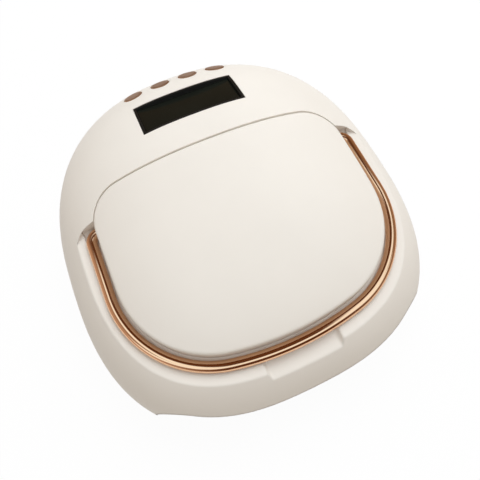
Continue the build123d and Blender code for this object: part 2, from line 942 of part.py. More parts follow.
def main():
    outside = dome()
    inside = dome(shell_wall)
    save("housing_shell", housing_shell(outside, inside))
    save("top_cover", top_cover(outside))
    save("cover_screws", cover_screws())
    save("carry_handle", carry_handle())
    right_bush, left_bush = both_sides(handle_bush())
    save("right_handle_bush", right_bush)
    save("left_handle_bush", left_bush)
    save("handle_clips", handle_clips())
    save("display_bezel", display_bezel())
    save("display_window", display_window())
    save("display_module", display_module())
    for index in range(button_count):
        save(f"timer_button_{index + 1}", timer_button(index))
    save("key_board", key_board())
    save("tact_switches", tact_switches())
    save("board_screws", board_screws())
    save("reflector_liner", reflector_liner(inside))
    save("led_board_top", led_board_top())
    right_board, left_board = both_sides(led_board_right())
    save("led_board_right", right_board)
    save("led_board_left", left_board)
    save("led_board_back", led_board_back())
    save("leds_top", [place * bead() for place in top_beads()])
    right_leds = [place * bead() for place in side_beads()]
    save("leds_right", right_leds)
    save("leds_left", [mirror(led, about=Plane.YZ) for led in right_leds])
    save("leds_back", [place * bead() for place in back_beads()])
    save("motion_sensors", motion_sensors())
    save("battery_holder", battery_holder())
    save("battery_cells", battery_cells())
    save("power_board", power_board())
    save("dc_inlet", dc_inlet())
    save("base_frame", base_frame())
    save("base_screws", base_screws())
    save("rubber_feet", rubber_feet())
    save("base_tray", base_tray())
    save("tray_magnets", tray_magnets())
    save("frame_magnets", frame_magnets())


main()
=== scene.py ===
import json
import math

import bmesh
import bpy
from bpy.props import FloatProperty, FloatVectorProperty, PointerProperty
from mathutils import Matrix, Vector


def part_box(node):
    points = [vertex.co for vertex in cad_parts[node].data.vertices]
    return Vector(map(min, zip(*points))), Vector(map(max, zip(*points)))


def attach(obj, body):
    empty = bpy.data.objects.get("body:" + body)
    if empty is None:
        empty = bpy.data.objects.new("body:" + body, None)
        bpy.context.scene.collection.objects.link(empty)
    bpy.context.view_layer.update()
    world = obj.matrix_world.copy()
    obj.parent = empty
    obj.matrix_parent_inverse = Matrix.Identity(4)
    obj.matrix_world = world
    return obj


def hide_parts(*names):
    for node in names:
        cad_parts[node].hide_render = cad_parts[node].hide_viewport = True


bl_info = {
    "name": "Nail lamp dresser",
    "version": (1, 0, 0),
    "blender": (4, 5, 0),
    "location": "3D View > Sidebar > Nail Lamp",
    "description": "Models the finished pieces of a domed nail lamp around its packed frame",
    "category": "Object",
}

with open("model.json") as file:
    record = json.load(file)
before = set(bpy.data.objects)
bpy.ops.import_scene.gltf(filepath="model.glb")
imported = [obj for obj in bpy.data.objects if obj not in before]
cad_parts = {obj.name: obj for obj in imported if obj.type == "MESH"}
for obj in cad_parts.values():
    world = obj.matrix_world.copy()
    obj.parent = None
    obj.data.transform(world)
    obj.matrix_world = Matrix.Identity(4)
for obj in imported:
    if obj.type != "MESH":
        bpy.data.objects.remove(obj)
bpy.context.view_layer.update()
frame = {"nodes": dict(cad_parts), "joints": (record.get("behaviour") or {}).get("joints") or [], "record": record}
nodes = frame["nodes"]
joints = {joint["name"]: joint for joint in frame["joints"]}

UP = Vector((0, 0, 1))
ACROSS = Vector((1, 0, 0))
MM = 0.001

# Points nearer than this count as one; rays start this far above the table
MERGE = 0.01 * MM
FAR = 500 * MM


# Settings that a user would change

def length_setting(name, description, default):
    """Length in metres."""
    return FloatProperty(name=name, description=description, default=default, unit="LENGTH")


def angle_setting(name, description, degrees):
    """Angle, given in degrees."""
    return FloatProperty(name=name, description=description, default=math.radians(degrees), subtype="ANGLE")


def colour_setting(name, description, default):
    """Colour."""
    return FloatVectorProperty(name=name, description=description, default=default, subtype="COLOR")


def place_setting(name, description, default):
    """Point of the scene, in metres."""
    return FloatVectorProperty(name=name, description=description, default=default, subtype="TRANSLATION")


class LampSizes(bpy.types.PropertyGroup):
    """Sizes of the pieces that are modelled here."""

    deck_tilt: angle_setting("Deck tilt", "Slope of the ledge that the handle lies on", 6)
    tube_radius: length_setting("Tube radius", "Radius of the handle's tube", 0.0031)
    handle_half_width: length_setting(
        "Handle half width", "From the middle to the tube's centreline beside the cover", 0.083)
    handle_front: length_setting("Handle front", "Front of the tube's centreline, along the ledge", -0.0924)
    handle_corner: length_setting(
        "Handle corner radius", "Radius of the handle's two front corners", 0.0589)
    handle_straight: length_setting(
        "Handle straight end", "Where the handle's straight sides end, along the ledge", -0.031)
    pivot_line: length_setting("Pivot line", "Place of the pivot pins, along the ledge", 0.0082)
    elbow_radius: length_setting("Elbow radius", "Radius of the bends beside the pivot pins", 0.006)
    pin_end: length_setting("Pin end", "From the middle to the pins' inner ends", 0.058)
    button_row: length_setting("Button row", "How far back the timer buttons stand", 0.08738)
    button_pitch: length_setting("Button pitch", "From one timer button to the next", 0.01915)
    button_radius: length_setting("Button radius", "Radius of a timer button's cap", 0.00635)
    button_flange: length_setting("Button flange", "Radius of the flange that keeps a button in", 0.0075)
    button_stem: length_setting("Button stem", "Radius of the stem that presses the switch", 0.002)
    window_width: length_setting("Window width", "Width of the display's pane", 0.0615)
    window_depth: length_setting("Window depth", "Length of the display's pane up the slope", 0.0234)
    window_thickness: length_setting("Window thickness", "Thickness of the display's pane", 0.0015)
    liner_draft: angle_setting("Reflector draft", "Lean of the reflector's walls", 8)
    screw_radius: length_setting("Screw radius", "Outer radius of the screws' thread", 0.00125)
    screw_head_radius: length_setting("Screw head radius", "Radius of the screws' heads", 0.0024)
    screw_head: length_setting("Screw head", "Thickness of the screws' heads", 0.0014)
    thread_pitch: length_setting("Thread pitch", "Rise of the thread in one turn", 0.0009)
    thread_depth: length_setting("Thread depth", "From the shank to the crest of the thread", 0.00035)
    inlet_height: length_setting("Inlet height", "Height of the charging inlet's middle", 0.0165)
    inlet_radius: length_setting("Inlet radius", "Radius of the charging inlet's barrel", 0.004)
    inlet_bore: length_setting("Inlet bore", "Radius of the charging inlet's bore", 0.0028)


class LampColours(bpy.types.PropertyGroup):
    """Colours of the lamp's finishes."""

    ivory: colour_setting("Ivory", "Moulded shell and cover", (0.885, 0.835, 0.765))
    rose_gold: colour_setting("Rose gold", "Polished handle", (0.80, 0.50, 0.31))
    satin_gold: colour_setting("Satin gold", "Timer buttons", (0.54, 0.335, 0.21))
    smoke: colour_setting("Smoke", "Display window", (0.010, 0.0115, 0.008))
    sleeve: colour_setting("Sleeve", "Shrink sleeve of the battery cells", (0.02, 0.09, 0.36))
    solder_mask: colour_setting("Solder mask", "Circuit boards", (0.02, 0.13, 0.05))


class StudioSettings(bpy.types.PropertyGroup):
    """Camera and light of the studio."""

    camera_place: place_setting("Camera place", "Where the camera stands", (-0.0383, -0.1242, 0.2801))
    camera_azimuth: angle_setting("Azimuth", "Turn of the view round the lamp", -19.033)
    camera_elevation: angle_setting("Elevation", "How steeply the view looks down", 62.959)
    camera_roll: angle_setting("Roll", "Turn of the picture about the view's line", -5.574)
    lens: FloatProperty(
        name="Lens", description="Focal length in millimetres on a 36 mm sensor", default=31.423)
    shift: FloatVectorProperty(
        name="Shift", description="Shift of the lens across and up", default=(0.00566, -0.03744), size=2)
    key_power: FloatProperty(
        name="Key power", description="Strength of the large lamp over the right side", default=6.9)
    key_place: place_setting("Key place", "Where the lamp over the right side hangs", (0.55, 0.35, 1.0))
    back_power: FloatProperty(
        name="Back power", description="Strength of the large lamp over the back", default=2.3)
    back_place: place_setting("Back place", "Where the lamp over the back hangs", (0.1, 0.8, 0.9))
    front_power: FloatProperty(
        name="Front power", description="Strength of the large lamp over the front", default=1.3)
    front_place: place_setting("Front place", "Where the lamp over the front hangs", (-0.1, -0.45, 1.0))
    lamp_width: length_setting("Lamp width", "Side of each large lamp", 0.9)
    lamp_colour: colour_setting("Lamp colour", "Colour of the large lamps", (0.94, 1.0, 1.06))
    room_light: FloatProperty(
        name="Room light", description="Strength of the light from all round", default=0.5)
    room_colour: colour_setting("Room colour", "Colour of the light from all round", (1.0, 0.945, 0.885))
    tent_radius: length_setting("Tent radius", "Radius of the cloth that only reflections see", 0.5)
    tent_dark: colour_setting(
        "Tent's dark", "The cloth in front of and behind the lamp", (0.13, 0.055, 0.022))
    tent_right: colour_setting("Tent's right", "The cloth on the right", (0.36, 0.24, 0.16))
    tent_left: colour_setting("Tent's left", "The cloth on the left", (0.56, 0.42, 0.33))
    panel_light: FloatProperty(
        name="Panel light", description="Strength of the light panels in the cloth", default=1.2)
    panel_colour: colour_setting("Panel colour", "Colour of the light panels", (1.0, 1.18, 1.3))
    floor_size: length_setting("Floor size", "Side of the square floor", 6.0)
    floor_colour: colour_setting("Floor colour", "The floor as the lamp is lit by it", (0.50, 0.43, 0.35))
    floor_glow: FloatProperty(
        name="Floor glow", description="Share of plain white in the floor that the camera sees",
        default=0.95)


# Working with pieces

def clear_selection():
    """Nothing selected and nothing active."""
    if bpy.context.object is not None and bpy.context.object.mode != "OBJECT":
        bpy.ops.object.mode_set(mode="OBJECT")
    bpy.ops.object.select_all(action="DESELECT")


def only(*pieces):
    """Select some pieces and make the last one active."""
    clear_selection()
    for piece in pieces:
        piece.select_set(True)
        bpy.context.view_layer.objects.active = piece


def edit(piece):
    """Open one piece in edit mode."""
    only(piece)
    bpy.ops.object.mode_set(mode="EDIT")


def choose(piece, kind, test):
    """In edit mode, select the faces, edges or verts that pass a test, and nothing else."""
    bpy.ops.mesh.select_mode(type={"faces": "FACE", "edges": "EDGE", "verts": "VERT"}[kind])
    bpy.ops.mesh.select_all(action="DESELECT")
    shape = bmesh.from_edit_mesh(piece.data)
    for item in getattr(shape, kind):
        if test(item):
            item.select_set(True)
    shape.select_flush_mode()
    bmesh.update_edit_mesh(piece.data)


def level(item, height):
    """Whether all corners of a face or edge lie at one height."""
    return all(abs(vert.co.z - height) < MERGE for vert in item.verts)


def round_edges(piece, radius, segments, *heights):
    """Open a piece and bevel its edges that lie level at the given heights."""
    edit(piece)
    choose(piece, "edges", lambda edge: any(level(edge, height) for height in heights))
    bpy.ops.mesh.bevel(offset=radius, segments=segments, affect="EDGES")


def apply(piece, kind, **settings):
    """Add one modifier with its settings and apply it."""
    only(piece)
    made = piece.modifiers.new(kind.lower(), kind)
    for setting, value in settings.items():
        setattr(made, setting, value)
    bpy.ops.object.modifier_apply(modifier=made.name)


def smooth(piece, degrees):
    """Merge doubles, turn the faces outward and shade smoothly up to an angle."""
    edit(piece)
    bpy.ops.mesh.select_all(action="SELECT")
    bpy.ops.mesh.remove_doubles(threshold=MERGE / 10)
    bpy.ops.mesh.normals_make_consistent(inside=False)
    bpy.ops.object.mode_set(mode="OBJECT")
    bpy.ops.object.shade_smooth_by_angle(angle=math.radians(degrees))


def settle(piece, name, place, body, slot, *replaced):
    """Name a finished piece, put its place in its mesh, give it its finish and tie it to its body."""
    only(piece)
    piece.matrix_world = place @ piece.matrix_world
    bpy.ops.object.transform_apply(location=True, rotation=True, scale=True)
    piece.name = name
    piece.data.name = name
    piece.data.materials.clear()
    piece.data.materials.append(finish_for(slot))
    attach(piece, body)
    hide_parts(*replaced)


def gather(model, places, name, body, slot, *replaced):
    """Copy a model to each of its places and join the copies; the model itself goes."""
    copies = []
    for place in places:
        only(model)
        bpy.ops.object.duplicate()
        copy = bpy.context.object
        copy.matrix_world = place
        bpy.ops.object.transform_apply(location=True, rotation=True, scale=True)
        copies.append(copy)
    bpy.data.objects.remove(model)
    only(*copies)
    bpy.ops.object.join()
    settle(bpy.context.object, name, Matrix(), body, slot, *replaced)


def upright(origin, up):
    """Pose at a point, with its Z along up and its X level across the lamp."""
    z = up.normalized()
    side = ACROSS if abs(z.dot(ACROSS)) < 0.9 else UP
    y = z.cross(side).normalized()
    pose = Matrix((y.cross(z), y, z)).transposed().to_4x4()
    pose.translation = origin
    return pose


def crown_point(x, y):
    """Point of the shell straight under a point of the plan."""
    hit, point = nodes["housing_shell"].ray_cast(Vector((x, y, FAR)), -UP)[:2]
    if not hit:
        raise RuntimeError("the shell has no crown there")
    return point


def facing_up(node):
    """Way that the largest upper face of a CAD node looks."""
    upper = [face for face in nodes[node].data.polygons if face.normal.z > 0]
    return max(upper, key=lambda face: face.area).normal.copy()


def solids_of(node):
    """Corner points of each separate solid of a CAD node."""
    shape = bmesh.new()
    shape.from_mesh(nodes[node].data)
    bmesh.ops.remove_doubles(shape, verts=shape.verts, dist=MERGE / 10)
    solids = []
    seen = set()
    for start in shape.verts:
        if start in seen:
            continue
        seen.add(start)
        found = [start]
        for vert in found:
            for edge in vert.link_edges:
                other = edge.other_vert(vert)
                if other not in seen:
                    seen.add(other)
                    found.append(other)
        solids.append([vert.co.copy() for vert in found])
    shape.free()
    return solids


def turned_pose(points, axis):
    """Pose of a turned solid at the end that its axis starts from, with its length and its width."""
    turn = upright(Vector(), axis)
    local = [turn.inverted() @ point for point in points]
    low = Vector([min(point[side] for point in local) for side in range(3)])
    high = Vector([max(point[side] for point in local) for side in range(3)])
    origin = turn @ Vector(((low.x + high.x) / 2, (low.y + high.y) / 2, low.z))
    return upright(origin, axis), high.z - low.z, max(high.x - low.x, high.y - low.y)


def cylinder(radius, bottom, top, sides):
    """Upright cylinder between two heights."""
    clear_selection()
    bpy.ops.mesh.primitive_cylinder_add(
        vertices=sides, radius=radius, depth=top - bottom, location=(0, 0, (bottom + top) / 2))
    bpy.ops.object.transform_apply(location=True, rotation=True, scale=True)
    return bpy.context.object


def block(low, high):
    """Box between its lowest and its highest corner."""
    clear_selection()
    middle = [(a + b) / 2 for a, b in zip(low, high)]
    bpy.ops.mesh.primitive_cube_add(size=1, location=middle)
    bpy.context.object.scale = [b - a for a, b in zip(low, high)]
    bpy.ops.object.transform_apply(location=True, rotation=True, scale=True)
    return bpy.context.object


def grow_edges(move, scale=1.0):
    """Extrude the selected ring of edges by a step along Z, and widen it."""
    bpy.ops.mesh.extrude_edges_move(TRANSFORM_OT_translate={"value": (0, 0, move)})
    bpy.ops.transform.resize(value=(scale, scale, 1), center_override=(0, 0, 0))


# Effects that several materials share

def feed(tree, value, socket):
    """Give a node's socket a link or a number."""
    if isinstance(value, bpy.types.NodeSocket):
        tree.links.new(value, socket)
    else:
        socket.default_value = value


def parts_of(tree, vector):
    """The three parts of a vector, by X, Y and Z."""
    made = tree.nodes.new("ShaderNodeSeparateXYZ")
    tree.links.new(vector, made.inputs["Vector"])
    return made.outputs


def mix_shaders(tree, factor, first, second):
    """Shader between two others; the factor is a socket or a number."""
    made = tree.nodes.new("ShaderNodeMixShader")
    feed(tree, factor, made.inputs["Fac"])
    tree.links.new(first, made.inputs[1])
    tree.links.new(second, made.inputs[2])
    return made.outputs["Shader"]


def new_group(name, inputs, outputs):
    """Shader group with named sockets; returns it with its two end nodes."""
    tree = bpy.data.node_groups.new(name, "ShaderNodeTree")
    for socket, kind, value in inputs:
        made = tree.interface.new_socket(socket, in_out="INPUT", socket_type=kind)
        if value is not None:
            made.default_value = value
    for socket, kind in outputs:
        tree.interface.new_socket(socket, in_out="OUTPUT", socket_type=kind)
    return tree, tree.nodes.new("NodeGroupInput"), tree.nodes.new("NodeGroupOutput")


def math_node(tree, operation, first, second, clamp=False):
    """Maths node; its inputs are sockets or numbers."""
    made = tree.nodes.new("ShaderNodeMath")
    made.operation = operation
    made.use_clamp = clamp
    for socket, value in zip(made.inputs, (first, second)):
        feed(tree, value, socket)
    return made.outputs["Value"]


def noise(tree, vector, scale, detail=3.0, roughness=0.6):
    """Noise texture; its scale is a socket or a number."""
    made = tree.nodes.new("ShaderNodeTexNoise")
    made.inputs["Detail"].default_value = detail
    made.inputs["Roughness"].default_value = roughness
    tree.links.new(vector, made.inputs["Vector"])
    feed(tree, scale, made.inputs["Scale"])
    return made.outputs["Fac"]


def spread(tree, value, low, high):
    """Stretch a value from low..high to 0..1, clamped."""
    made = tree.nodes.new("ShaderNodeMapRange")
    tree.links.new(value, made.inputs["Value"])
    made.inputs["From Min"].default_value = low
    made.inputs["From Max"].default_value = high
    return made.outputs["Result"]


def moulded_grain():
    """Height of a fine mould texture, and a slow mask of how evenly it shines."""
    tree, start, end = new_group(
        "moulded grain",
        [("Vector", "NodeSocketVector", None), ("Grain", "NodeSocketFloat", 1800.0),
         ("Patch", "NodeSocketFloat", 22.0)],
        [("Height", "NodeSocketFloat"), ("Mask", "NodeSocketFloat")])
    vector = start.outputs["Vector"]
    grain = noise(tree, vector, start.outputs["Grain"])
    patch = noise(tree, vector, start.outputs["Patch"], 4.0, 0.55)
    tree.links.new(grain, end.inputs["Height"])
    tree.links.new(spread(tree, patch, 0.3, 0.7), end.inputs["Mask"])
    return tree


def soft_edges():
    """Normal that rounds sharp edges, and a mask of where they are."""
    tree, start, end = new_group(
        "soft edges",
        [("Radius", "NodeSocketFloat", 0.0005)],
        [("Normal", "NodeSocketVector"), ("Mask", "NodeSocketFloat")])
    bevel = tree.nodes.new("ShaderNodeBevel")
    bevel.samples = 6
    tree.links.new(start.outputs["Radius"], bevel.inputs["Radius"])
    place = tree.nodes.new("ShaderNodeNewGeometry")
    lean = tree.nodes.new("ShaderNodeVectorMath")
    lean.operation = "DOT_PRODUCT"
    tree.links.new(bevel.outputs["Normal"], lean.inputs[0])
    tree.links.new(place.outputs["Normal"], lean.inputs[1])
    sharp = math_node(tree, "SUBTRACT", 1.0, lean.outputs["Value"])
    tree.links.new(spread(tree, sharp, 0.01, 0.25), end.inputs["Mask"])
    tree.links.new(bevel.outputs["Normal"], end.inputs["Normal"])
    return tree


def handling_marks():
    """Mask of faint smears and specks that hands leave on polished faces."""
    tree, start, end = new_group(
        "handling marks",
        [("Vector", "NodeSocketVector", None), ("Scale", "NodeSocketFloat", 60.0)],
        [("Mask", "NodeSocketFloat")])
    vector = start.outputs["Vector"]
    smear = spread(tree, noise(tree, vector, start.outputs["Scale"], 5.0, 0.7), 0.52, 0.75)
    speck = spread(tree, noise(tree, vector, 2600.0, 1.0, 0.4), 0.72, 0.8)
    tree.links.new(math_node(tree, "MAXIMUM", smear, speck), end.inputs["Mask"])
    return tree


def brushed_lines():
    """Height and mask of fine lines that run across the lamp."""
    tree, start, end = new_group(
        "brushed lines",
        [("Vector", "NodeSocketVector", None), ("Scale", "NodeSocketFloat", 1500.0)],
        [("Height", "NodeSocketFloat"), ("Mask", "NodeSocketFloat")])
    stretch = tree.nodes.new("ShaderNodeMapping")
    stretch.inputs["Scale"].default_value = (0.02, 1, 1)
    tree.links.new(start.outputs["Vector"], stretch.inputs["Vector"])
    lines = noise(tree, stretch.outputs["Vector"], start.outputs["Scale"], 2.0, 0.5)
    tree.links.new(lines, end.inputs["Height"])
    tree.links.new(spread(tree, lines, 0.35, 0.65), end.inputs["Mask"])
    return tree


def copper_tracks():
    """Mask of the tracks and pads that show through a solder mask."""
    tree, start, end = new_group(
        "copper tracks",
        [("Vector", "NodeSocketVector", None), ("Pitch", "NodeSocketFloat", 0.0032)],
        [("Mask", "NodeSocketFloat"), ("Pads", "NodeSocketFloat")])
    parts = parts_of(tree, start.outputs["Vector"])
    pitch = start.outputs["Pitch"]
    lines = []
    for side in ("X", "Y"):
        folds = math_node(tree, "PINGPONG", parts[side], pitch)
        share = math_node(tree, "DIVIDE", folds, pitch)
        lines.append(math_node(tree, "LESS_THAN", share, 0.16))
    where = tree.nodes.new("ShaderNodeTexVoronoi")
    where.inputs["Scale"].default_value = 95.0
    tree.links.new(start.outputs["Vector"], where.inputs["Vector"])
    choice = tree.nodes.new("ShaderNodeSeparateColor")
    tree.links.new(where.outputs["Color"], choice.inputs["Color"])
    here = math_node(tree, "GREATER_THAN", choice.outputs["Red"], 0.5)
    first = math_node(tree, "MULTIPLY", lines[0], here)
    there = math_node(tree, "LESS_THAN", choice.outputs["Red"], 0.5)
    second = math_node(tree, "MULTIPLY", lines[1], there)
    tree.links.new(math_node(tree, "MAXIMUM", first, second), end.inputs["Mask"])
    crossing = math_node(tree, "MULTIPLY", lines[0], lines[1])
    tinned = math_node(tree, "GREATER_THAN", choice.outputs["Green"], 0.6)
    pads = math_node(tree, "MULTIPLY", crossing, tinned)
    tree.links.new(pads, end.inputs["Pads"])
    return tree


def light_panel():
    """Mask of a rectangular panel with soft edges, by two angles from straight up."""
    sides = ("Left", "Right", "Back", "Front")
    tree, start, end = new_group(
        "light panel",
        [("Across", "NodeSocketFloat", 0.0), ("Along", "NodeSocketFloat", 0.0),
         *((side, "NodeSocketFloat", 0.0) for side in sides)],
        [("Mask", "NodeSocketFloat")])
    soft = math.radians(5)
    mask = None
    for angle, low, high in (("Across", "Left", "Right"), ("Along", "Back", "Front")):
        for first, second in ((angle, low), (high, angle)):
            past = math_node(tree, "SUBTRACT", start.outputs[first], start.outputs[second])
            inside = spread(tree, past, -soft / 2, soft / 2)
            mask = inside if mask is None else math_node(tree, "MULTIPLY", mask, inside)
    tree.links.new(mask, end.inputs["Mask"])
    return tree


effects = {}


def effect(tree, maker, **values):
    """Place a shared effect in a material, built on its first use."""
    if maker.__name__ not in effects:
        effects[maker.__name__] = maker()
    made = tree.nodes.new("ShaderNodeGroup")
    made.node_tree = effects[maker.__name__]
    for socket, value in values.items():
        feed(tree, value, made.inputs[socket])
    return made


# Materials

def new_material(name, **constants):
    """Material with a Principled shader; constants are its sockets' own values."""
    finish = bpy.data.materials.new(name)
    finish.use_nodes = True
    shader = finish.node_tree.nodes["Principled BSDF"]
    for socket, value in constants.items():
        shader.inputs[socket.replace("_", " ")].default_value = value
    return finish, finish.node_tree, shader


def object_place(tree):
    """Place on the piece, in metres."""
    return tree.nodes.new("ShaderNodeTexCoord").outputs["Object"]


def blend(tree, factor, low, high):
    """Colour between two others; each is a colour or a socket."""
    tone = tree.nodes.new("ShaderNodeMix")
    tone.data_type = "RGBA"
    tree.links.new(factor, tone.inputs["Factor"])
    for socket, colour in ((tone.inputs["A"], low), (tone.inputs["B"], high)):
        if isinstance(colour, bpy.types.NodeSocket):
            tree.links.new(colour, socket)
        else:
            socket.default_value = (*colour, 1)
    return tone.outputs["Result"]


def slide(tree, factor, low, high):
    """Number that goes from low to high with a mask."""
    made = tree.nodes.new("ShaderNodeMapRange")
    tree.links.new(factor, made.inputs["Value"])
    made.inputs["To Min"].default_value = low
    made.inputs["To Max"].default_value = high
    return made.outputs["Result"]


def shade(colour, factor):
    """A colour made lighter or darker."""
    return tuple(min(1.0, part * factor) for part in colour)


def bump(tree, height, depth, normal, strength=0.6):
    """Normal with a relief of a given depth over another normal."""
    made = tree.nodes.new("ShaderNodeBump")
    made.inputs["Distance"].default_value = depth
    made.inputs["Strength"].default_value = strength
    tree.links.new(height, made.inputs["Height"])
    tree.links.new(normal, made.inputs["Normal"])
    return made.outputs["Normal"]


def connect(tree, shader, colour, rough, normal):
    """Give a shader its colour, its roughness and its normal."""
    tree.links.new(colour, shader.inputs["Base Color"])
    tree.links.new(rough, shader.inputs["Roughness"])
    tree.links.new(normal, shader.inputs["Normal"])


def moulded(name, colour, rough, grain=1500.0, depth=0.02 * MM, edge=0.5 * MM, front_edge=None, edge_wear_and_highlight=1.04,
            **constants):
    """Moulded plastic or rubber: fine grain, even sheen with slow patches, and rounded edges painted lighter,
    partly as wear and partly as a painted highlight.
    """
    finish, tree, shader = new_material(name, **constants)
    place = object_place(tree)
    texture = effect(tree, moulded_grain, Vector=place, Grain=grain, Patch=20.0)
    if front_edge:
        seam, ledge = 14 * MM, -4 * MM
        forward = spread(tree, parts_of(tree, place)["Y"], seam, ledge)
        edge = slide(tree, forward, edge, front_edge)
    edges = effect(tree, soft_edges, Radius=edge)
    mask = texture.outputs["Mask"]
    body = blend(tree, mask, shade(colour, 0.985), shade(colour, 1.015))
    # Sharp edges painted lighter: partly wear, partly a painted highlight
    colour = blend(tree, edges.outputs["Mask"], body, shade(colour, edge_wear_and_highlight))
    normal = bump(tree, texture.outputs["Height"], depth, edges.outputs["Normal"])
    connect(tree, shader, colour, slide(tree, mask, rough - 0.04, rough + 0.04), normal)
    return finish


def ivory_plastic(name, front_edge):
    """Satin ivory whose edges are crisp at the seam behind and rounder in front."""
    colour = bpy.context.scene.lamp_colours.ivory
    return moulded(name, colour, 0.46, edge=0.15 * MM, front_edge=front_edge, edge_wear_and_highlight=1.02,
                   Specular_IOR_Level=0.35)


def polished_rose_gold():
    """Plating: nearly a mirror, with faint smears and the slow waves of a bent and polished tube."""
    colour = bpy.context.scene.lamp_colours.rose_gold
    finish, tree, shader = new_material("polished rose gold", Metallic=1.0)
    place = object_place(tree)
    marks = effect(tree, handling_marks, Vector=place, Scale=45.0)
    edges = effect(tree, soft_edges, Radius=0.3 * MM)
    wave = noise(tree, place, 140.0, 2.0, 0.4)
    tone = blend(tree, marks.outputs["Mask"], colour, shade(colour, 0.94))
    normal = bump(tree, wave, 0.03 * MM, edges.outputs["Normal"], 0.4)
    connect(tree, shader, tone, slide(tree, marks.outputs["Mask"], 0.09, 0.16), normal)
    return finish


def satin_rose_gold():
    """Metallised satin plastic with a fine blasted grain and a rim painted brighter as a painted highlight."""
    colour = bpy.context.scene.lamp_colours.satin_gold
    finish, tree, shader = new_material("satin rose gold", Metallic=0.85)
    place = object_place(tree)
    texture = effect(tree, moulded_grain, Vector=place, Grain=2600.0, Patch=160.0)
    lines = effect(tree, brushed_lines, Vector=place, Scale=2200.0)
    edges = effect(tree, soft_edges, Radius=0.25 * MM)
    tone = blend(tree, lines.outputs["Mask"], shade(colour, 0.95), shade(colour, 1.05))
    # Painted highlight: the rim is painted brighter than the face
    tone = blend(tree, edges.outputs["Mask"], tone, shade(colour, 1.25))
    normal = bump(tree, texture.outputs["Height"], 0.012 * MM, edges.outputs["Normal"])
    connect(tree, shader, tone, slide(tree, texture.outputs["Mask"], 0.42, 0.5), normal)
    return finish


def smoked_window():
    """Dark tinted acrylic: smooth, with a few faint smears."""
    colour = bpy.context.scene.lamp_colours.smoke
    finish, tree, shader = new_material("smoked window", Specular_IOR_Level=0.35)
    place = object_place(tree)
    marks = effect(tree, handling_marks, Vector=place, Scale=70.0)
    edges = effect(tree, soft_edges, Radius=0.2 * MM)
    depth = noise(tree, place, 35.0, 2.0, 0.5)
    tone = blend(tree, spread(tree, depth, 0.35, 0.65), shade(colour, 0.9), shade(colour, 1.1))
    normal = bump(tree, marks.outputs["Mask"], 0.002 * MM, edges.outputs["Normal"], 0.3)
    connect(tree, shader, tone, slide(tree, marks.outputs["Mask"], 0.2, 0.3), normal)
    return finish


def worked_metal(name, colour, rough, scale=1500.0):
    """Plated or machined metal with fine lines and edges painted brighter as a painted highlight."""
    finish, tree, shader = new_material(name, Metallic=1.0)
    lines = effect(tree, brushed_lines, Vector=object_place(tree), Scale=scale)
    edges = effect(tree, soft_edges, Radius=0.15 * MM)
    tone = blend(tree, lines.outputs["Mask"], shade(colour, 0.92), shade(colour, 1.06))
    # Painted highlight: sharp edges painted brighter
    tone = blend(tree, edges.outputs["Mask"], tone, shade(colour, 1.15))
    normal = bump(tree, lines.outputs["Height"], 0.006 * MM, edges.outputs["Normal"])
    connect(tree, shader, tone, slide(tree, lines.outputs["Mask"], rough - 0.05, rough + 0.06), normal)
    return finish


def board(name, colour, track_tone, rough):
    """Circuit board: tracks that show through its mask, and tinned pads."""
    finish, tree, shader = new_material(name)
    place = object_place(tree)
    tracks = effect(tree, copper_tracks, Vector=place, Pitch=0.0032)
    edges = effect(tree, soft_edges, Radius=0.15 * MM)
    grain = noise(tree, place, 900.0)
    tone = blend(tree, tracks.outputs["Mask"], colour, shade(colour, track_tone))
    tone = blend(tree, tracks.outputs["Pads"], tone, (0.62, 0.60, 0.56))
    tone = blend(tree, edges.outputs["Mask"], tone, (0.55, 0.48, 0.30))
    relief = math_node(tree, "ADD", tracks.outputs["Mask"], math_node(tree, "MULTIPLY", grain, 0.2))
    normal = bump(tree, relief, 0.03 * MM, edges.outputs["Normal"])
    connect(tree, shader, tone, slide(tree, grain, rough - 0.06, rough + 0.06), normal)
    tree.links.new(tracks.outputs["Pads"], shader.inputs["Metallic"])
    return finish


def glossy_reflector():
    """Bright sprayed white with a faint orange peel."""
    colour = (0.88, 0.88, 0.89)
    finish, tree, shader = new_material("white reflector", Coat_Weight=0.3, Coat_Roughness=0.08)
    place = object_place(tree)
    marks = effect(tree, handling_marks, Vector=place, Scale=30.0)
    edges = effect(tree, soft_edges, Radius=0.4 * MM)
    peel = noise(tree, place, 320.0, 2.0, 0.5)
    tone = blend(tree, marks.outputs["Mask"], colour, shade(colour, 0.97))
    normal = bump(tree, peel, 0.02 * MM, edges.outputs["Normal"])
    connect(tree, shader, tone, slide(tree, marks.outputs["Mask"], 0.16, 0.26), normal)
    return finish


def diode_lens():
    """Silicone lens: a round of phosphor shows in the middle of each, by the lens's own UV map."""
    finish, tree, shader = new_material("diode lens", Coat_Weight=1.0, Coat_Roughness=0.04)
    flat = tree.nodes.new("ShaderNodeTexCoord").outputs["UV"]
    away = tree.nodes.new("ShaderNodeVectorMath")
    away.operation = "DISTANCE"
    tree.links.new(flat, away.inputs[0])
    away.inputs[1].default_value = (0.25, 0.25, 0)
    ring = spread(tree, away.outputs["Value"], 0.11, 0.15)
    grain = effect(tree, moulded_grain, Vector=object_place(tree), Grain=3000.0, Patch=400.0)
    edges = effect(tree, soft_edges, Radius=0.2 * MM)
    phosphor = blend(tree, grain.outputs["Mask"], (0.86, 0.66, 0.12), (0.92, 0.76, 0.2))
    tone = blend(tree, ring, phosphor, (0.86, 0.86, 0.82))
    normal = bump(tree, grain.outputs["Height"], 0.004 * MM, edges.outputs["Normal"])
    connect(tree, shader, tone, slide(tree, ring, 0.1, 0.22), normal)
    return finish


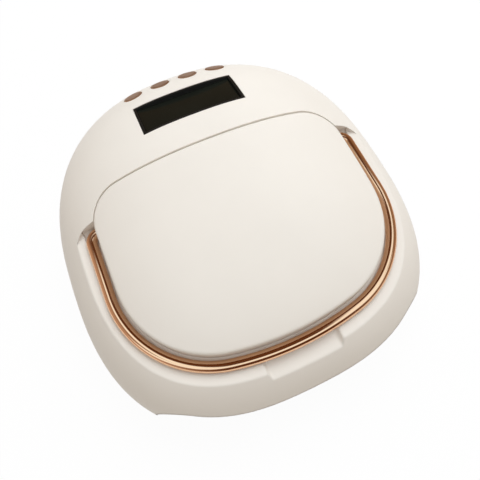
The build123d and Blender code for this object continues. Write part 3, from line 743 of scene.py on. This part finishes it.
def cell_sleeve():
    """Shrink sleeve with faint draw lines round the cells."""
    colour = bpy.context.scene.lamp_colours.sleeve
    finish, tree, shader = new_material("cell sleeve", Coat_Weight=0.5, Coat_Roughness=0.15)
    place = object_place(tree)
    wrinkle = effect(tree, brushed_lines, Vector=place, Scale=420.0)
    edges = effect(tree, soft_edges, Radius=0.4 * MM)
    tone = blend(tree, wrinkle.outputs["Mask"], shade(colour, 0.92), shade(colour, 1.08))
    # Painted highlight: the sleeve's edges painted lighter
    tone = blend(tree, edges.outputs["Mask"], tone, shade(colour, 1.5))
    normal = bump(tree, wrinkle.outputs["Height"], 0.03 * MM, edges.outputs["Normal"])
    connect(tree, shader, tone, slide(tree, wrinkle.outputs["Mask"], 0.24, 0.34), normal)
    return finish


finishes = {}


def finish_for(slot):
    """The material of one of the record's slots, made once."""
    makers = {
        "ivory_shell": lambda: ivory_plastic("ivory shell", 2.2 * MM),
        "ivory_cover": lambda: ivory_plastic("ivory cover", 1.2 * MM),
        "rose_gold_plate": polished_rose_gold,
        "rose_gold_satin": satin_rose_gold,
        "smoked_window": smoked_window,
        "ivory_base": lambda: moulded("ivory base", (0.78, 0.74, 0.68), 0.55, 1200.0, 0.05 * MM),
        "acetal": lambda: moulded("acetal", (0.82, 0.80, 0.74), 0.42, edge=0.2 * MM),
        "zinc_steel": lambda: worked_metal("zinc steel", (0.62, 0.62, 0.60), 0.32),
        "black_plastic": lambda: moulded(
            "black plastic", (0.009, 0.009, 0.008), 0.5, edge=0.2 * MM, edge_wear_and_highlight=1.4),
        "circuit_board": lambda: board(
            "circuit board", bpy.context.scene.lamp_colours.solder_mask, 1.6, 0.35),
        "white_reflector": glossy_reflector,
        "aluminium_board": lambda: board("aluminium board", (0.80, 0.80, 0.78), 0.86, 0.4),
        "led_lens": diode_lens,
        "cell_sleeve": cell_sleeve,
        "foot_rubber": lambda: moulded(
            "foot rubber", (0.035, 0.034, 0.033), 0.75, 900.0, 0.06 * MM, edge_wear_and_highlight=1.6),
        "nickel_magnet": lambda: worked_metal("nickel magnet", (0.70, 0.68, 0.64), 0.2, 2500.0),
    }
    if slot not in finishes:
        finishes[slot] = makers[slot]()
    return finishes[slot]


# Handle

def spin(angle, middle, steps):
    """Turn the selected ring about a point of the handle's plane, counterclockwise from above."""
    bpy.ops.mesh.spin(steps=steps, angle=-angle, center=(*middle, 0), axis=(0, 0, 1))


class LAMP_OT_handle(bpy.types.Operator):
    """Bend the carry handle from a tube ring, half by half"""

    bl_idname = "lamp.handle"
    bl_label = "Carry handle"

    def execute(self, context):
        sizes = context.scene.lamp_sizes
        width, front = sizes.handle_half_width, sizes.handle_front
        corner, straight = sizes.handle_corner, sizes.handle_straight
        elbow, pivot = sizes.elbow_radius, sizes.pivot_line
        reach, rise = width - corner, straight - front
        nose = (reach ** 2 + rise ** 2 - corner ** 2) / (2 * (rise - corner))
        nose_middle = front + nose
        turn = math.atan2(straight - nose_middle, reach)
        sides, elbow_steps, corner_steps, nose_steps = 40, 12, 40, 20
        clear_selection()
        bpy.ops.mesh.primitive_circle_add(
            vertices=sides, radius=sizes.tube_radius, location=(sizes.pin_end, pivot, 0),
            rotation=(0, math.pi / 2, 0))
        tube = bpy.context.object
        bpy.ops.object.transform_apply(location=True, rotation=True, scale=True)
        edit(tube)
        choose(tube, "edges", lambda edge: True)
        slide_on = width - elbow - sizes.pin_end
        bpy.ops.mesh.extrude_edges_move(TRANSFORM_OT_translate={"value": (slide_on, 0, 0)})
        spin(-math.pi / 2, (width - elbow, pivot - elbow), elbow_steps)
        bpy.ops.mesh.extrude_edges_move(
            TRANSFORM_OT_translate={"value": (0, straight - pivot + elbow, 0)})
        spin(turn, (reach, straight), corner_steps)
        spin(-math.pi / 2 - turn, (0, nose_middle), nose_steps)
        choose(tube, "verts", lambda vert: abs(vert.co.x) < sizes.tube_radius / 10)
        bpy.ops.transform.resize(value=(0, 1, 1), center_override=(0, 0, 0))
        choose(tube, "edges", self.round_pin)
        bpy.ops.mesh.edge_face_add()
        bpy.ops.mesh.bevel(offset=sizes.tube_radius / 6, segments=2, affect="EDGES")
        apply(tube, "MIRROR", use_clip=True)
        smooth(tube, 40)
        hinge = Vector(joints["handle_fold"]["pos_m"])
        tilt = Matrix.Rotation(sizes.deck_tilt, 4, "X")
        place = Matrix.Translation(hinge) @ tilt @ Matrix.Translation((0, -pivot, 0))
        settle(tube, "bent_handle", place, "handle", "rose_gold_plate", "carry_handle")
        return {"FINISHED"}

    def round_pin(self, edge):
        """Whether an edge goes round the open end of the pivot pin."""
        return edge.is_boundary and min(vert.co.x for vert in edge.verts) > MERGE


# Timer buttons

class LAMP_OT_buttons(bpy.types.Operator):
    """Turn the crowned timer buttons, each shaped to the shell round it"""

    bl_idname = "lamp.buttons"
    bl_label = "Timer buttons"

    def execute(self, context):
        sizes = context.scene.lamp_sizes
        press = Vector(joints["button_1_press"]["axis"])
        middle = crown_point(0, sizes.button_row)
        for index in range(4):
            origin = middle + ACROSS * sizes.button_pitch * (index - 1.5)
            self.turn_button(f"button_{index + 1}", upright(origin, -press), sizes)
        return {"FINISHED"}

    def turn_button(self, body, place, sizes):
        """One button: a dished cap laid on the CAD button's face, then its rim, skirt, flange and stem."""
        node = f"timer_{body}"
        rim, skirt, flange, above = 0.5 * MM, 3.0 * MM, 1.4 * MM, 5.0 * MM
        face = sizes.button_radius - rim
        clear_selection()
        bpy.ops.mesh.primitive_circle_add(vertices=64, radius=face, fill_type="NGON")
        cap = bpy.context.object
        edit(cap)
        choose(cap, "faces", lambda item: True)
        rings = 6
        for _ in range(rings):
            bpy.ops.mesh.inset(thickness=face / (rings + 1))
        bpy.ops.mesh.poke()
        cap_matrix = place @ Matrix.Translation((0, 0, above))
        bpy.ops.object.mode_set(mode="OBJECT")
        cap.matrix_world = cap_matrix
        apply(cap, "SHRINKWRAP", target=nodes[node], wrap_method="PROJECT", use_project_z=True,
              use_negative_direction=True, use_positive_direction=False)
        cap.matrix_world = Matrix()
        edit(cap)
        # The face is dished: within each share of its radius it dips by so many millimetres more
        for share, dip in ((0.8, 0.06), (0.55, 0.07), (0.25, 0.03)):
            choose(cap, "verts", lambda vert: vert.co.xy.length < face * share)
            bpy.ops.transform.translate(value=(0, 0, -dip * MM))
        choose(cap, "edges", lambda edge: edge.is_boundary)
        # The rim rolls over in steps: a share of its width outward, and so many millimetres down
        for share, drop in ((0.55, 0.08), (0.3, 0.14), (0.15, 0.28)):
            wide = self.ring_radius(cap)
            grow_edges(-drop * MM, (wide + rim * share) / wide)
        grow_edges(-skirt)
        grow_edges(0, sizes.button_flange / sizes.button_radius)
        grow_edges(-flange)
        grow_edges(0, sizes.button_stem / sizes.button_flange)
        grow_edges(-MM)
        end = min((cap_matrix.inverted() @ point).z for point in solids_of(node)[0])
        bpy.ops.transform.resize(value=(1, 1, 0), center_override=(0, 0, end))
        bpy.ops.mesh.edge_face_add()
        smooth(cap, 35)
        settle(cap, f"crowned_{body}", cap_matrix, body, "rose_gold_satin", node)

    def ring_radius(self, cap):
        """Radius of the ring of edges that is selected."""
        shape = bmesh.from_edit_mesh(cap.data)
        return max(vert.co.xy.length for vert in shape.verts if vert.select)


# Display

class LAMP_OT_window(bpy.types.Operator):
    """Cut the display's pane, with polished edges"""

    bl_idname = "lamp.window"
    bl_label = "Display window"

    def execute(self, context):
        sizes = context.scene.lamp_sizes
        low, high = (Vector(corner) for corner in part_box("display_window"))
        middle = (low + high) / 2
        normal = facing_up("display_window")
        half = Vector((sizes.window_width, sizes.window_depth, sizes.window_thickness)) / 2
        polish = 0.35 * MM
        pane = block(-half, half)
        round_edges(pane, polish, 3, half.z)
        smooth(pane, 30)
        settle(pane, "smoked_pane", upright(middle, normal), "housing", "smoked_window", "display_window")
        return {"FINISHED"}


# Diodes and sensors

class LAMP_OT_diodes(bpy.types.Operator):
    """Turn the domed diode lenses and set them in the reflector's holes"""

    bl_idname = "lamp.diodes"
    bl_label = "Diodes and sensors"

    def execute(self, context):
        draft = context.scene.lamp_sizes.liner_draft
        level_part, down = math.cos(draft), -math.sin(draft)
        ways = {
            "top": Vector((0, 0, -1)),
            "right": Vector((-level_part, 0, down)),
            "left": Vector((level_part, 0, down)),
            "back": Vector((0, -level_part, down)),
        }
        for side, way in ways.items():
            self.set_lenses(f"leds_{side}", way, f"diodes_{side}", "led_lens", 0.55)
        self.set_lenses("motion_sensors", ways["top"], "sensor_eyes", "smoked_window", 0.3)
        return {"FINISHED"}

    def set_lenses(self, node, way, name, slot, roundness):
        """Lenses of one node: each a short turned body with a rounded tip."""
        poses = [turned_pose(points, way) for points in solids_of(node)]
        length, width = poses[0][1:]
        lens = cylinder(width / 2, 0, length, 32)
        round_edges(lens, length * roundness, 6, length)
        smooth(lens, 40)
        gather(lens, [pose[0] for pose in poses], name, "housing", slot, node)


# Screws

class LAMP_OT_screws(bpy.types.Operator):
    """Turn the threaded screws with their cross recesses and set them in their holes"""

    bl_idname = "lamp.screws"
    bl_label = "Screws"

    def execute(self, context):
        press = Vector(joints["button_1_press"]["axis"])
        glass_way = facing_up("display_window")
        self.set_screws("base_screws", "frame_screws", [UP])
        self.set_screws("cover_screws", "post_screws", [UP])
        self.set_screws("board_screws", "small_screws", [-UP, -press, glass_way])
        return {"FINISHED"}

    def set_screws(self, node, name, ways):
        """Screws of one node; of the ways, each screw takes the one along its own axis."""
        poses = []
        for points in solids_of(node):
            choices = [turned_pose(points, way) for way in ways]
            poses.append(min(choices, key=lambda pose: pose[2]))
        screw = self.turn_screw(poses[0][1])
        gather(screw, [pose[0] for pose in poses], name, "housing", "zinc_steel", node)

    def turn_screw(self, length):
        """Pan head with a cross recess, its outer face at zero, and a threaded shank."""
        sizes = bpy.context.scene.lamp_sizes
        head, reach = sizes.screw_head, sizes.screw_head_radius
        depth = sizes.thread_depth
        root = sizes.screw_radius - depth
        top = cylinder(reach, 0, head, 32)
        round_edges(top, head * 0.5, 5, 0)
        recess_reach, recess_depth = reach * 0.55, head * 0.6
        for long_way in (0, 1):
            bar = self.recess_bar(long_way, recess_reach, recess_depth)
            apply(top, "BOOLEAN", object=bar, operation="DIFFERENCE", solver="EXACT")
            bpy.data.objects.remove(bar)
        shank = cylinder(root, head, length, 20)
        round_edges(shank, root * 0.5, 2, length)
        thread = self.wind_thread(root, depth, head + sizes.thread_pitch, length - sizes.thread_pitch)
        only(shank, thread, top)
        bpy.ops.object.join()
        only(top)
        bpy.ops.object.shade_smooth_by_angle(angle=math.radians(35))
        return top

    def recess_bar(self, long_way, reach, depth):
        """One arm of the cross, narrower at its bottom."""
        arm, taper = 0.22 * MM, 0.55
        half = [arm, arm]
        half[long_way] = reach
        bar = block((-half[0], -half[1], -depth), (half[0], half[1], depth))
        edit(bar)
        choose(bar, "faces", lambda face: level(face, depth))
        bpy.ops.transform.resize(value=(taper, taper, 1), center_override=(0, 0, 0))
        bpy.ops.object.mode_set(mode="OBJECT")
        return bar

    def wind_thread(self, root, depth, start, end):
        """Closed ridge wound round the shank."""
        pitch = bpy.context.scene.lamp_sizes.thread_pitch
        clear_selection()
        bpy.ops.mesh.primitive_circle_add(
            vertices=3, radius=depth, location=(root, 0, start), rotation=(math.pi / 2, -math.pi / 2, 0))
        ridge = bpy.context.object
        bpy.ops.object.transform_apply(location=True, rotation=True, scale=True)
        turns = int((end - start) / pitch)
        apply(ridge, "SCREW", angle=2 * math.pi, screw_offset=pitch, iterations=turns, steps=16,
              render_steps=16, axis="Z", use_merge_vertices=False)
        edit(ridge)
        bpy.ops.mesh.select_all(action="SELECT")
        bpy.ops.mesh.fill_holes(sides=0)
        smooth(ridge, 35)
        return ridge


# Feet

class LAMP_OT_feet(bpy.types.Operator):
    """Mould one soft foot with its suction ring and set the four"""

    bl_idname = "lamp.feet"
    bl_label = "Feet"

    def execute(self, context):
        poses = [turned_pose(points, UP) for points in solids_of("rubber_feet")]
        height, width = poses[0][1:]
        edge_round, tread, groove, slope = 0.5 * MM, 1.4 * MM, 0.9 * MM, 0.25 * MM
        groove_depth, pad_rise = 0.6 * MM, 0.35 * MM
        foot = cylinder(width / 2, 0, height, 48)
        round_edges(foot, edge_round, 4, 0)
        choose(foot, "faces", lambda face: level(face, 0))
        bpy.ops.mesh.inset(thickness=tread)
        bpy.ops.mesh.inset(thickness=slope)
        bpy.ops.transform.translate(value=(0, 0, groove_depth))
        bpy.ops.mesh.inset(thickness=groove)
        bpy.ops.mesh.inset(thickness=slope)
        bpy.ops.transform.translate(value=(0, 0, -pad_rise))
        bpy.ops.mesh.poke()
        smooth(foot, 30)
        gather(foot, [pose[0] for pose in poses], "soft_feet", "housing", "foot_rubber", "rubber_feet")
        return {"FINISHED"}


# Charging inlet

class LAMP_OT_inlet(bpy.types.Operator):
    """Mould the charging inlet's barrel and body, and turn its pin"""

    bl_idname = "lamp.inlet"
    bl_label = "Charging inlet"

    def execute(self, context):
        sizes = context.scene.lamp_sizes
        low, high = (Vector(corner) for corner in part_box("dc_inlet"))
        outward = Matrix.Translation((0, 0, sizes.inlet_height)) @ Matrix.Rotation(-math.pi / 2, 4, "X")
        bore_depth, back_wall = 9.0 * MM, 0.85 * MM
        pin_radius, pin_drop, pin_round = 1.0 * MM, 0.6 * MM, 0.8 * MM
        rim_round, body_round = 0.25 * MM, 0.4 * MM
        wall_face = high.y - bore_depth - back_wall
        barrel = cylinder(sizes.inlet_radius, wall_face, high.y, 48)
        edit(barrel)
        choose(barrel, "faces", lambda face: level(face, high.y))
        bpy.ops.mesh.inset(thickness=sizes.inlet_radius - sizes.inlet_bore)
        bpy.ops.mesh.extrude_region_move(TRANSFORM_OT_translate={"value": (0, 0, -bore_depth)})
        round_edges(barrel, rim_round, 3, high.y)
        smooth(barrel, 35)
        only(barrel)
        barrel.matrix_world = outward
        bpy.ops.object.transform_apply(location=True, rotation=True, scale=True)
        body = block((low.x, low.y, low.z), (high.x, wall_face, high.z))
        edit(body)
        bpy.ops.mesh.select_all(action="SELECT")
        bpy.ops.mesh.bevel(offset=body_round, segments=2, affect="EDGES")
        smooth(body, 35)
        only(barrel, body)
        bpy.ops.object.join()
        settle(body, "inlet_housing", Matrix(), "housing", "black_plastic", "dc_inlet")
        tip = high.y - pin_drop
        pin = cylinder(pin_radius, high.y - bore_depth, tip, 24)
        round_edges(pin, pin_round, 5, tip)
        smooth(pin, 40)
        settle(pin, "inlet_pin", outward, "housing", "nickel_magnet", "dc_inlet")
        return {"FINISHED"}


# Battery

class LAMP_OT_battery(bpy.types.Operator):
    """Roll one sleeved cell and its end caps, and lay the cells in their holder"""

    bl_idname = "lamp.battery"
    bl_label = "Battery cells"

    def execute(self, context):
        poses = []
        for points in solids_of("battery_cells"):
            ends = (min(point.x for point in points), max(point.x for point in points))
            toward = ACROSS if ends[1] + ends[0] > 0 else -ACROSS
            poses.append(turned_pose(points, toward))
        length, width = poses[0][1:]
        radius, nub, inset = width / 2, 0.8 * MM, 0.3 * MM
        shoulder = length - nub
        sleeve_round, sleeve_lip = 0.8 * MM, 0.9 * MM
        cap_radius, cap_round = 2.8 * MM, 0.5 * MM
        sleeve = cylinder(radius, 0, shoulder, 48)
        round_edges(sleeve, sleeve_round, 4, 0, shoulder)
        choose(sleeve, "faces", lambda face: level(face, 0) or level(face, shoulder))
        bpy.ops.mesh.inset(thickness=sleeve_lip)
        choose(sleeve, "faces", lambda face: level(face, shoulder) and self.centred(face))
        bpy.ops.transform.translate(value=(0, 0, -inset))
        smooth(sleeve, 35)
        places = [pose[0] for pose in poses]
        gather(sleeve, places, "cell_sleeves", "housing", "cell_sleeve", "battery_cells")
        cap = cylinder(cap_radius, shoulder - inset, length, 40)
        round_edges(cap, cap_round, 3, length)
        smooth(cap, 35)
        gather(cap, places, "cell_caps", "housing", "nickel_magnet", "battery_cells")
        return {"FINISHED"}

    def centred(self, face):
        """Whether a face lies round the cell's axis."""
        return face.calc_center_median().xy.length < MERGE


# Switches

class LAMP_OT_switches(bpy.types.Operator):
    """Assemble one push switch and set the four on their board"""

    bl_idname = "lamp.switches"
    bl_label = "Push switches"

    def execute(self, context):
        press = Vector(joints["button_1_press"]["axis"])
        poses = [turned_pose(points, -press) for points in solids_of("tact_switches")]
        places = [pose[0] for pose in poses]
        side, tall, full = 3.0 * MM, 3.5 * MM, poses[0][1]
        sheet, lap, plunger_radius, sunk = 0.3 * MM, 0.02 * MM, 1.7 * MM, 0.4 * MM
        base_round, plunger_round, plate_round = 0.25 * MM, 0.2 * MM, 0.12 * MM
        base = block((-side, -side, 0), (side, side, tall - sheet))
        edit(base)
        choose(base, "edges", lambda edge: not level(edge, 0))
        bpy.ops.mesh.bevel(offset=base_round, segments=2, affect="EDGES")
        smooth(base, 35)
        plunger = cylinder(plunger_radius, tall - sunk, full, 32)
        round_edges(plunger, plunger_round, 2, full)
        smooth(plunger, 35)
        only(plunger, base)
        bpy.ops.object.join()
        gather(base, places, "switch_bodies", "housing", "black_plastic", "tact_switches")
        plate = block((-side, -side, tall - sheet - lap), (side, side, tall))
        round_edges(plate, plate_round, 2, tall)
        smooth(plate, 35)
        gather(plate, places, "switch_plates", "housing", "zinc_steel", "tact_switches")
        return {"FINISHED"}


# Finishes of the frame's own pieces

class LAMP_OT_finishes(bpy.types.Operator):
    """Give every CAD node that still shows its procedural material"""

    bl_idname = "lamp.finishes"
    bl_label = "Finishes"

    def execute(self, context):
        for row in frame["record"]["subparts"]:
            piece = nodes[row["node"]]
            if piece.hide_render:
                continue
            finish = finish_for(row["material_slot"])
            if not piece.material_slots:
                piece.data.materials.append(finish)
            for held in piece.material_slots:
                held.material = finish
        return {"FINISHED"}


# Studio

class LAMP_OT_studio(bpy.types.Operator):
    """Set the floor, the lamps, the room light and the camera"""

    bl_idname = "lamp.studio"
    bl_label = "Studio"

    # Light panels in the tent, in degrees from straight up: left, right, back and front edge
    panels = {
        "front": (-65, 50, 28, 50),
        "left": (-32, -10, -12, 31),
        "right": (16, 38, -6, 31),
    }

    def execute(self, context):
        settings = context.scene.lamp_studio
        self.add_floor(settings)
        self.add_tent(settings)
        for side in ("key", "back", "front"):
            self.add_lamp(side, settings)
        self.add_world(settings)
        self.add_camera(settings)
        context.scene.view_settings.view_transform = "Standard"
        return {"FINISHED"}

    def seen_directly(self, tree):
        """One for rays from the camera, off a glossy face or through glass."""
        rays = tree.nodes.new("ShaderNodeLightPath").outputs
        first = math_node(tree, "ADD", rays["Is Camera Ray"], rays["Is Glossy Ray"])
        return math_node(tree, "ADD", first, rays["Is Transmission Ray"], clamp=True)

    def add_floor(self, settings):
        """Pale floor that looks white, keeps the lamp's shadow and doesn't show from below."""
        bpy.ops.mesh.primitive_plane_add(size=settings.floor_size)
        floor = bpy.context.object
        floor.name = "floor"
        finish, tree, shader = new_material(
            "pale floor", Base_Color=(*settings.floor_colour, 1), Roughness=1.0, Specular_IOR_Level=0.0)
        pale = tree.nodes.new("ShaderNodeBsdfDiffuse")
        pale.inputs["Color"].default_value = (1, 1, 1, 1)
        glow = tree.nodes.new("ShaderNodeEmission")
        white = mix_shaders(tree, settings.floor_glow, pale.outputs["BSDF"], glow.outputs["Emission"])
        upper = mix_shaders(tree, self.seen_directly(tree), shader.outputs["BSDF"], white)
        clear = tree.nodes.new("ShaderNodeBsdfTransparent")
        below = tree.nodes.new("ShaderNodeNewGeometry").outputs["Backfacing"]
        surface = mix_shaders(tree, below, upper, clear.outputs["BSDF"])
        tree.links.new(surface, tree.nodes["Material Output"].inputs["Surface"])
        floor.data.materials.append(finish)

    def add_tent(self, settings):
        """Brown cloth over the floor, with light panels in it, that only reflections see."""
        radius = settings.tent_radius
        bpy.ops.mesh.primitive_uv_sphere_add(segments=64, ring_count=32, radius=radius)
        tent = bpy.context.object
        tent.name = "tent"
        edit(tent)
        choose(tent, "verts", lambda vert: vert.co.z < -MERGE)
        bpy.ops.mesh.delete(type="VERT")
        bpy.ops.object.mode_set(mode="OBJECT")
        finish, tree = new_material("tent cloth")[:2]
        x, y, z = parts_of(tree, object_place(tree))
        inner, outer = 0.3 * radius, 0.85 * radius
        cloth = blend(tree, spread(tree, x, inner, outer), settings.tent_dark, settings.tent_right)
        cloth = blend(tree, spread(tree, x, -inner, -outer), cloth, settings.tent_left)
        across = math_node(tree, "ARCTAN2", x, z)
        along = math_node(tree, "ARCTAN2", math_node(tree, "MULTIPLY", y, -1.0), z)
        masks = []
        for name, (left, right, back, front) in self.panels.items():
            panel = effect(tree, light_panel, Across=across, Along=along, Left=math.radians(left),
                           Right=math.radians(right), Back=math.radians(back), Front=math.radians(front))
            panel.label = name
            masks.append(panel.outputs["Mask"])
        mask = masks[0]
        for other in masks[1:]:
            mask = math_node(tree, "MAXIMUM", mask, other)
        shine = tuple(part * settings.panel_light for part in settings.panel_colour)
        glow = tree.nodes.new("ShaderNodeEmission")
        tree.links.new(blend(tree, mask, cloth, shine), glow.inputs["Color"])
        tree.links.new(glow.outputs["Emission"], tree.nodes["Material Output"].inputs["Surface"])
        tent.data.materials.append(finish)
        tent.visible_camera = False
        tent.visible_diffuse = False
        tent.visible_transmission = False
        tent.visible_volume_scatter = False
        tent.visible_shadow = False

    def add_lamp(self, side, settings):
        """Large soft lamp that points at the origin and doesn't show in reflections."""
        place = getattr(settings, f"{side}_place")
        bpy.ops.object.light_add(type="AREA", location=place)
        lamp = bpy.context.object
        lamp.name = side
        lamp.data.energy = getattr(settings, f"{side}_power")
        lamp.data.size = settings.lamp_width
        lamp.data.color = settings.lamp_colour
        lamp.rotation_euler = (-Vector(place)).to_track_quat("-Z", "Y").to_euler()
        lamp.visible_glossy = False

    def add_world(self, settings):
        """Soft warm light from all round, behind a white that the camera sees."""
        world = bpy.data.worlds.new("room")
        world.use_nodes = True
        bpy.context.scene.world = world
        tree = world.node_tree
        soft = tree.nodes["Background"]
        soft.inputs["Color"].default_value = (*settings.room_colour, 1)
        soft.inputs["Strength"].default_value = settings.room_light
        white = tree.nodes.new("ShaderNodeBackground")
        white.inputs["Color"].default_value = (1, 1, 1, 1)
        white.inputs["Strength"].default_value = 1.0
        room = mix_shaders(
            tree, self.seen_directly(tree), soft.outputs["Background"], white.outputs["Background"])
        tree.links.new(room, tree.nodes["World Output"].inputs["Surface"])

    def add_camera(self, settings):
        """Camera by its turn and rise round the lamp, rolled about the line of its view."""
        turn, lift, roll = settings.camera_azimuth, settings.camera_elevation, settings.camera_roll
        back = Vector((math.sin(turn) * math.cos(lift), -math.cos(turn) * math.cos(lift), math.sin(lift)))
        side = Vector((math.cos(turn), math.sin(turn), 0))
        up = back.cross(side)
        right = side * math.cos(roll) + up * math.sin(roll)
        top = up * math.cos(roll) - side * math.sin(roll)
        bpy.ops.object.camera_add()
        camera = bpy.context.object
        pose = Matrix((right, top, back)).transposed().to_4x4()
        pose.translation = Vector(settings.camera_place)
        camera.matrix_world = pose
        camera.data.sensor_width = 36
        camera.data.lens = settings.lens
        camera.data.shift_x = settings.shift[0]
        camera.data.shift_y = settings.shift[1]
        camera.data.clip_start = 0.01
        bpy.context.scene.camera = camera


class LAMP_PT_sidebar(bpy.types.Panel):
    """List of the lamp's pieces"""

    bl_idname = "LAMP_PT_sidebar"
    bl_label = "Nail Lamp"
    bl_space_type = "VIEW_3D"
    bl_region_type = "UI"
    bl_category = "Nail Lamp"

    def draw(self, context):
        for group in ("lamp_sizes", "lamp_colours", "lamp_studio"):
            settings = getattr(context.scene, group)
            column = self.layout.column()
            for name in settings.bl_rna.properties.keys():
                if name not in ("rna_type", "name"):
                    column.prop(settings, name)
        for step in steps:
            self.layout.operator(step.bl_idname)


steps = (
    LAMP_OT_handle, LAMP_OT_buttons, LAMP_OT_window, LAMP_OT_diodes, LAMP_OT_screws, LAMP_OT_feet,
    LAMP_OT_inlet, LAMP_OT_battery, LAMP_OT_switches, LAMP_OT_finishes, LAMP_OT_studio,
)
classes = (LampSizes, LampColours, StudioSettings, *steps, LAMP_PT_sidebar)


def register():
    for item in classes:
        bpy.utils.register_class(item)
    bpy.types.Scene.lamp_sizes = PointerProperty(type=LampSizes)
    bpy.types.Scene.lamp_colours = PointerProperty(type=LampColours)
    bpy.types.Scene.lamp_studio = PointerProperty(type=StudioSettings)


def unregister():
    del bpy.types.Scene.lamp_studio
    del bpy.types.Scene.lamp_colours
    del bpy.types.Scene.lamp_sizes
    for item in reversed(classes):
        bpy.utils.unregister_class(item)


def main():
    register()
    bpy.ops.lamp.handle()
    bpy.ops.lamp.buttons()
    bpy.ops.lamp.window()
    bpy.ops.lamp.diodes()
    bpy.ops.lamp.screws()
    bpy.ops.lamp.feet()
    bpy.ops.lamp.inlet()
    bpy.ops.lamp.battery()
    bpy.ops.lamp.switches()
    bpy.ops.lamp.finishes()
    bpy.ops.lamp.studio()


if __name__ == "__main__":
    main()
